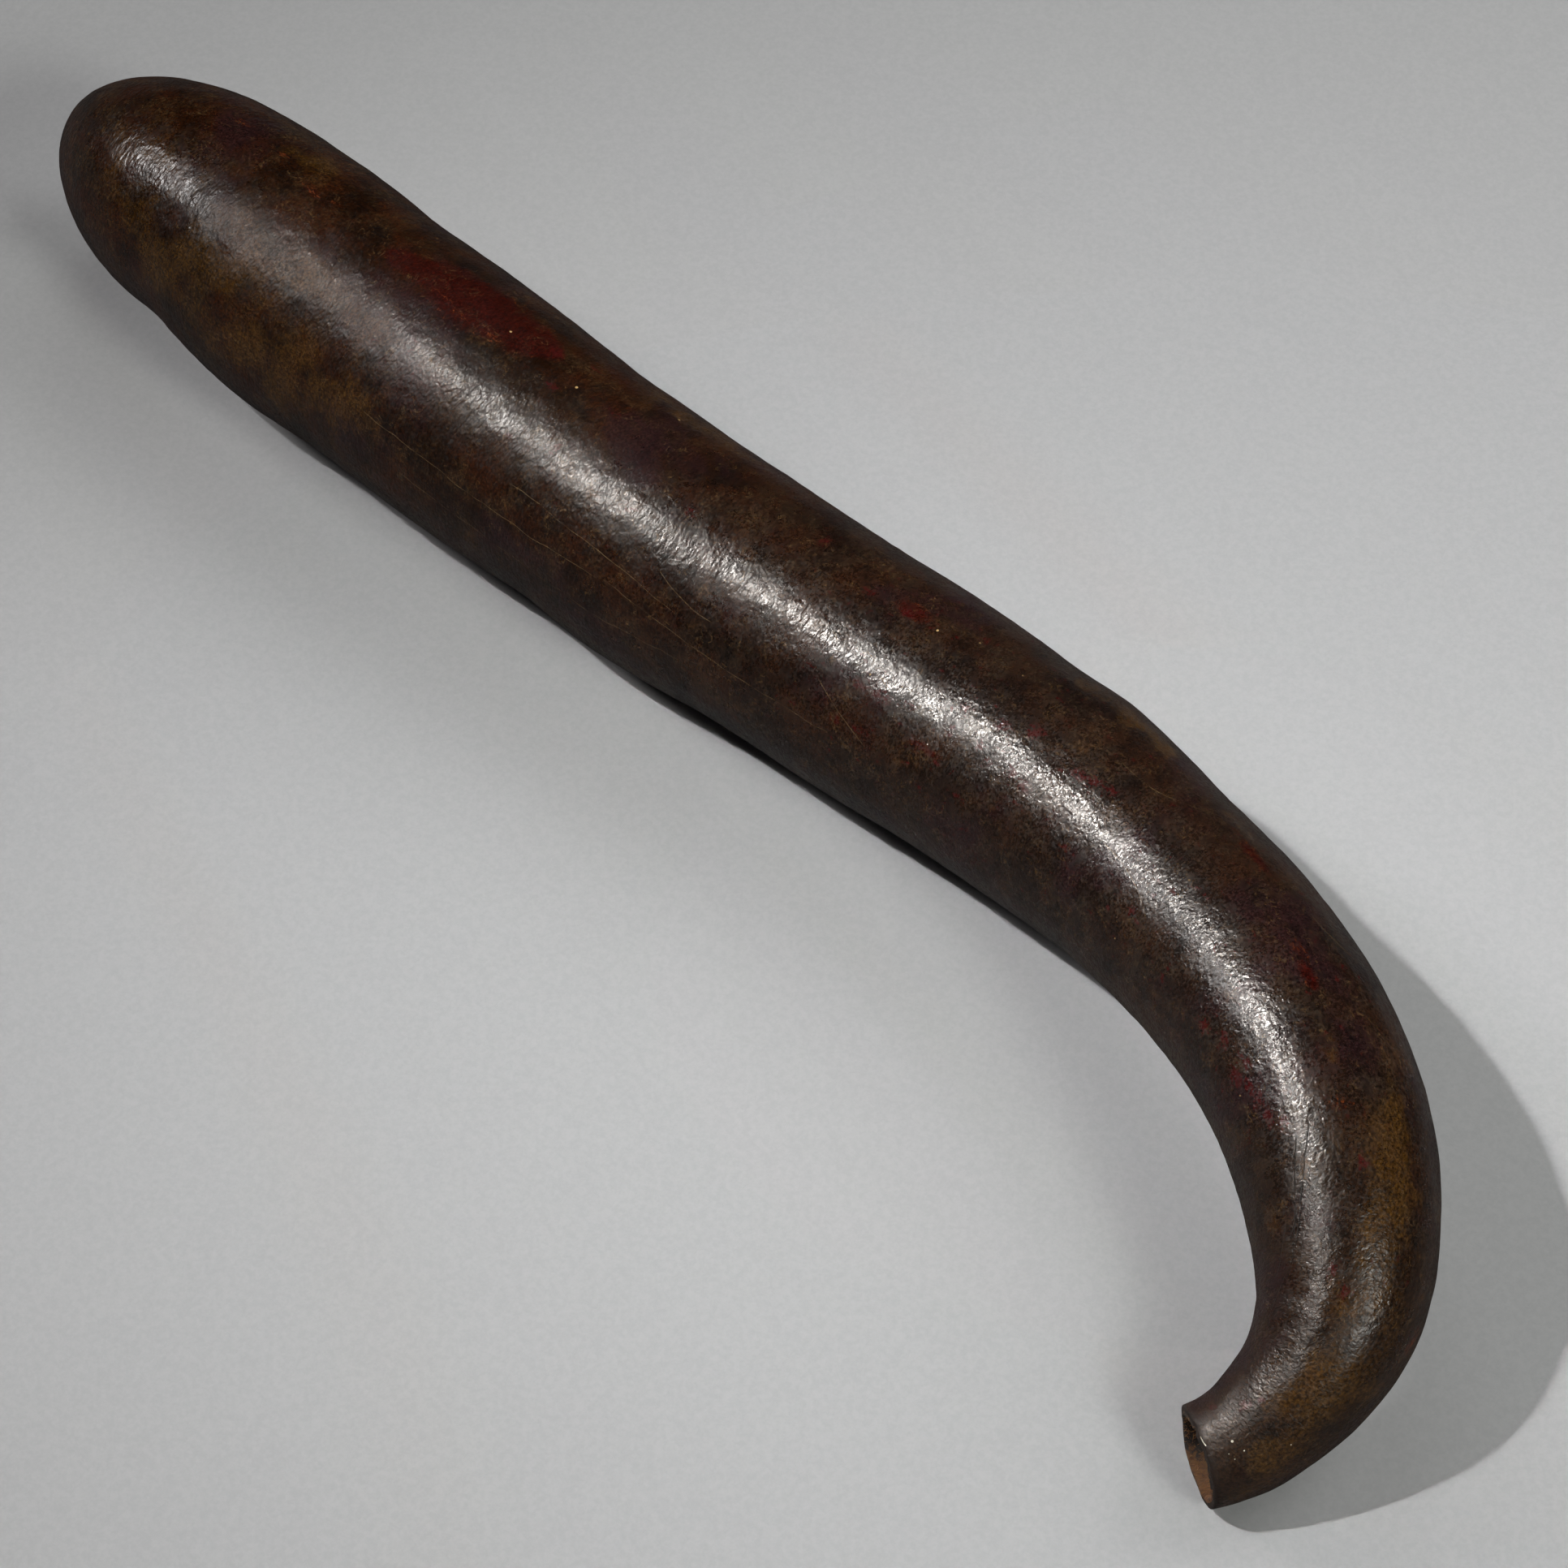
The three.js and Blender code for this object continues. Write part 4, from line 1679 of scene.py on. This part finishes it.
        lean = bench.put("FunctionNodeRandomValue", {
            0: (-self.lean, -self.lean, -self.spin), 1: (self.lean, self.lean, self.spin), "Seed": seed},
            data_type="FLOAT_VECTOR").outputs[0]
        turned = bench.put("FunctionNodeRotateRotation", {
            0: scatter.outputs["Rotation"], 1: bench.put("FunctionNodeEulerToRotation", {0: lean}).outputs[0]},
            rotation_space="LOCAL").outputs[0]
        size = bench.put("FunctionNodeRandomValue", {
            2: self.shortest, 3: self.longest, "Seed": seed}, data_type="FLOAT").outputs[1]
        scale = bench.put("ShaderNodeCombineXYZ", {0: size, 1: size, 2: size}).outputs[0]
        grown = bench.put("GeometryNodeInstanceOnPoints", {
            "Points": scatter.outputs["Points"], "Instance": strand.outputs[0], "Rotation": turned,
            "Scale": scale})
        whole = bench.put("GeometryNodeRealizeInstances", {0: grown.outputs[0]}).outputs[0]
        finish = bench.put("GeometryNodeSetMaterial", {"Geometry": whole, "Material": finishes["fibre"]})
        bench.feed(result, finish.outputs[0])
        return tree


# The studio


@dataclass(frozen=True)
class SoftLight:
    """A soft square lamp, which may be kept out of reflections or be only in them. Metres, watts, degrees."""

    name: str
    place: Triple
    side: float
    power: float
    colour: Colour = (1.0, 1.0, 1.0)
    spread: float = 180.0
    aim: Triple = MIDDLE
    mirrored: bool = True
    lights_up: bool = True


@dataclass(frozen=True)
class Studio:
    """The camera, the lights and the pale floor. Metres and degrees."""

    azimuth: float = 41.935
    elevation: float = 52.0
    distance: float = 1.738
    aim: Triple = MIDDLE
    view_angle: float = 20.0
    floor_side: float = 9.0
    surround: Colour = (0.92, 0.95, 1.0)
    surround_strength: float = 0.015
    backdrop: Colour = (0.36, 0.36, 0.365)
    lights: tuple[SoftLight, ...] = (
        SoftLight("key from the left", (-1.030, -1.097, 2.40), 0.10, 1.37, spread=28.0, aim=(0.256, 0.046, 0.0),
                  mirrored=False),
        SoftLight("softbox on the right", (2.526, -0.412, 1.970), 0.70, 36.0, (0.985, 1.0, 0.95)),
        SoftLight("softbox past the blossom end", (-1.930, -0.740, 1.5), 0.30, 17.0, (1.0, 0.97, 0.96)),
        SoftLight("fill over the back", (-1.027, 1.219, 1.6), 1.2, 8.0, (0.97, 1.0, 1.0), mirrored=False),
        SoftLight("fill over the hook", (0.832, 1.544, 1.6), 1.2, 17.0, mirrored=False),
        SoftLight("sheen along the body", (-1.230, -0.870, 2.30), 0.30, 2.2, (1.0, 0.955, 0.90), spread=28.0,
                  aim=(0.28, -0.05, 0.0), lights_up=False),
        SoftLight("sheen inside the hook", (-0.440, -1.840, 2.08), 0.30, 0.13, (1.0, 0.955, 0.90), spread=14.0,
                  aim=(0.336, -0.012, 0.097), lights_up=False))

    def place_camera(self) -> None:
        """Stands the camera at the photograph's viewing angle."""
        turn, rise = math.radians(self.azimuth), math.radians(self.elevation)
        back = Vector((math.sin(turn) * math.cos(rise), -math.cos(turn) * math.cos(rise), math.sin(rise)))
        data = bpy.data.cameras.new("camera")
        data.angle = math.radians(self.view_angle)
        camera = stand("camera", data)
        camera.location = Vector(self.aim) + back * self.distance
        camera.rotation_euler = (-back).to_track_quat("-Z", "Y").to_euler()
        bpy.context.scene.camera = camera

    def place_lights(self) -> None:
        """Hangs the soft lights."""
        for light in self.lights:
            data = bpy.data.lights.new(light.name, "AREA")
            data.shape = "SQUARE"
            data.size = light.side
            data.energy = light.power
            data.color = light.colour
            data.spread = math.radians(light.spread)
            lamp = stand(light.name, data)
            lamp.location = light.place
            lamp.visible_glossy = light.mirrored
            lamp.visible_diffuse = light.lights_up
            way = Vector(light.aim) - Vector(light.place)
            lamp.rotation_euler = way.to_track_quat("-Z", "Y").to_euler()

    def set_surround(self) -> None:
        """Sets the faint surround that lights the gourd, and the plain backdrop that the camera sees."""
        world = bpy.data.worlds.new("surround")
        world.use_nodes = True
        world.node_tree.nodes.clear()
        bench = Bench(world.node_tree)
        path = bench.put("ShaderNodeLightPath").outputs["Is Camera Ray"]
        dim = tuple(channel * self.surround_strength for channel in self.surround)
        tone = bench.tint(path, opaque(dim), opaque(self.backdrop))
        sky = bench.put("ShaderNodeBackground", {"Color": tone, "Strength": 1.0})
        bench.put("ShaderNodeOutputWorld", {"Surface": sky.outputs[0]})
        bpy.context.scene.world = world

    def lay_floor(self, effects: Effects) -> None:
        """Lays the pale floor that the gourd lies on.

        Args:
            effects: The shared shader groups.
        """
        half = self.floor_side / 2
        mesh = bpy.data.meshes.new("floor")
        corners = [(-half, -half, 0), (half, -half, 0), (half, half, 0), (-half, half, 0)]
        mesh.from_pydata(corners, [], [(0, 1, 2, 3)])
        mesh.materials.append(FloorPaper().material(effects))
        stand("floor", mesh)


def main() -> None:
    """Builds the studio and the gourd, in order."""
    logging.basicConfig(level=logging.INFO, format="%(name)s: %(message)s")
    effects = Effects()
    studio = Studio()
    studio.place_camera()
    studio.place_lights()
    studio.set_surround()
    studio.lay_floor(effects)
    bpy.context.scene.view_settings.view_transform = "Standard"

    shell = GourdShell()
    finishes = {
        "rind": RindPatina().material(effects, shell.form, shell.worn),
        "lining": WoodyLining().material(effects),
        "fibre": TornFibre().material(effects),
    }
    for maker in (shell, MouthFibres(shell)):
        piece = maker.build(finishes)
        maker.dress(piece)
        report(piece)


if __name__ == "__main__":
    main()
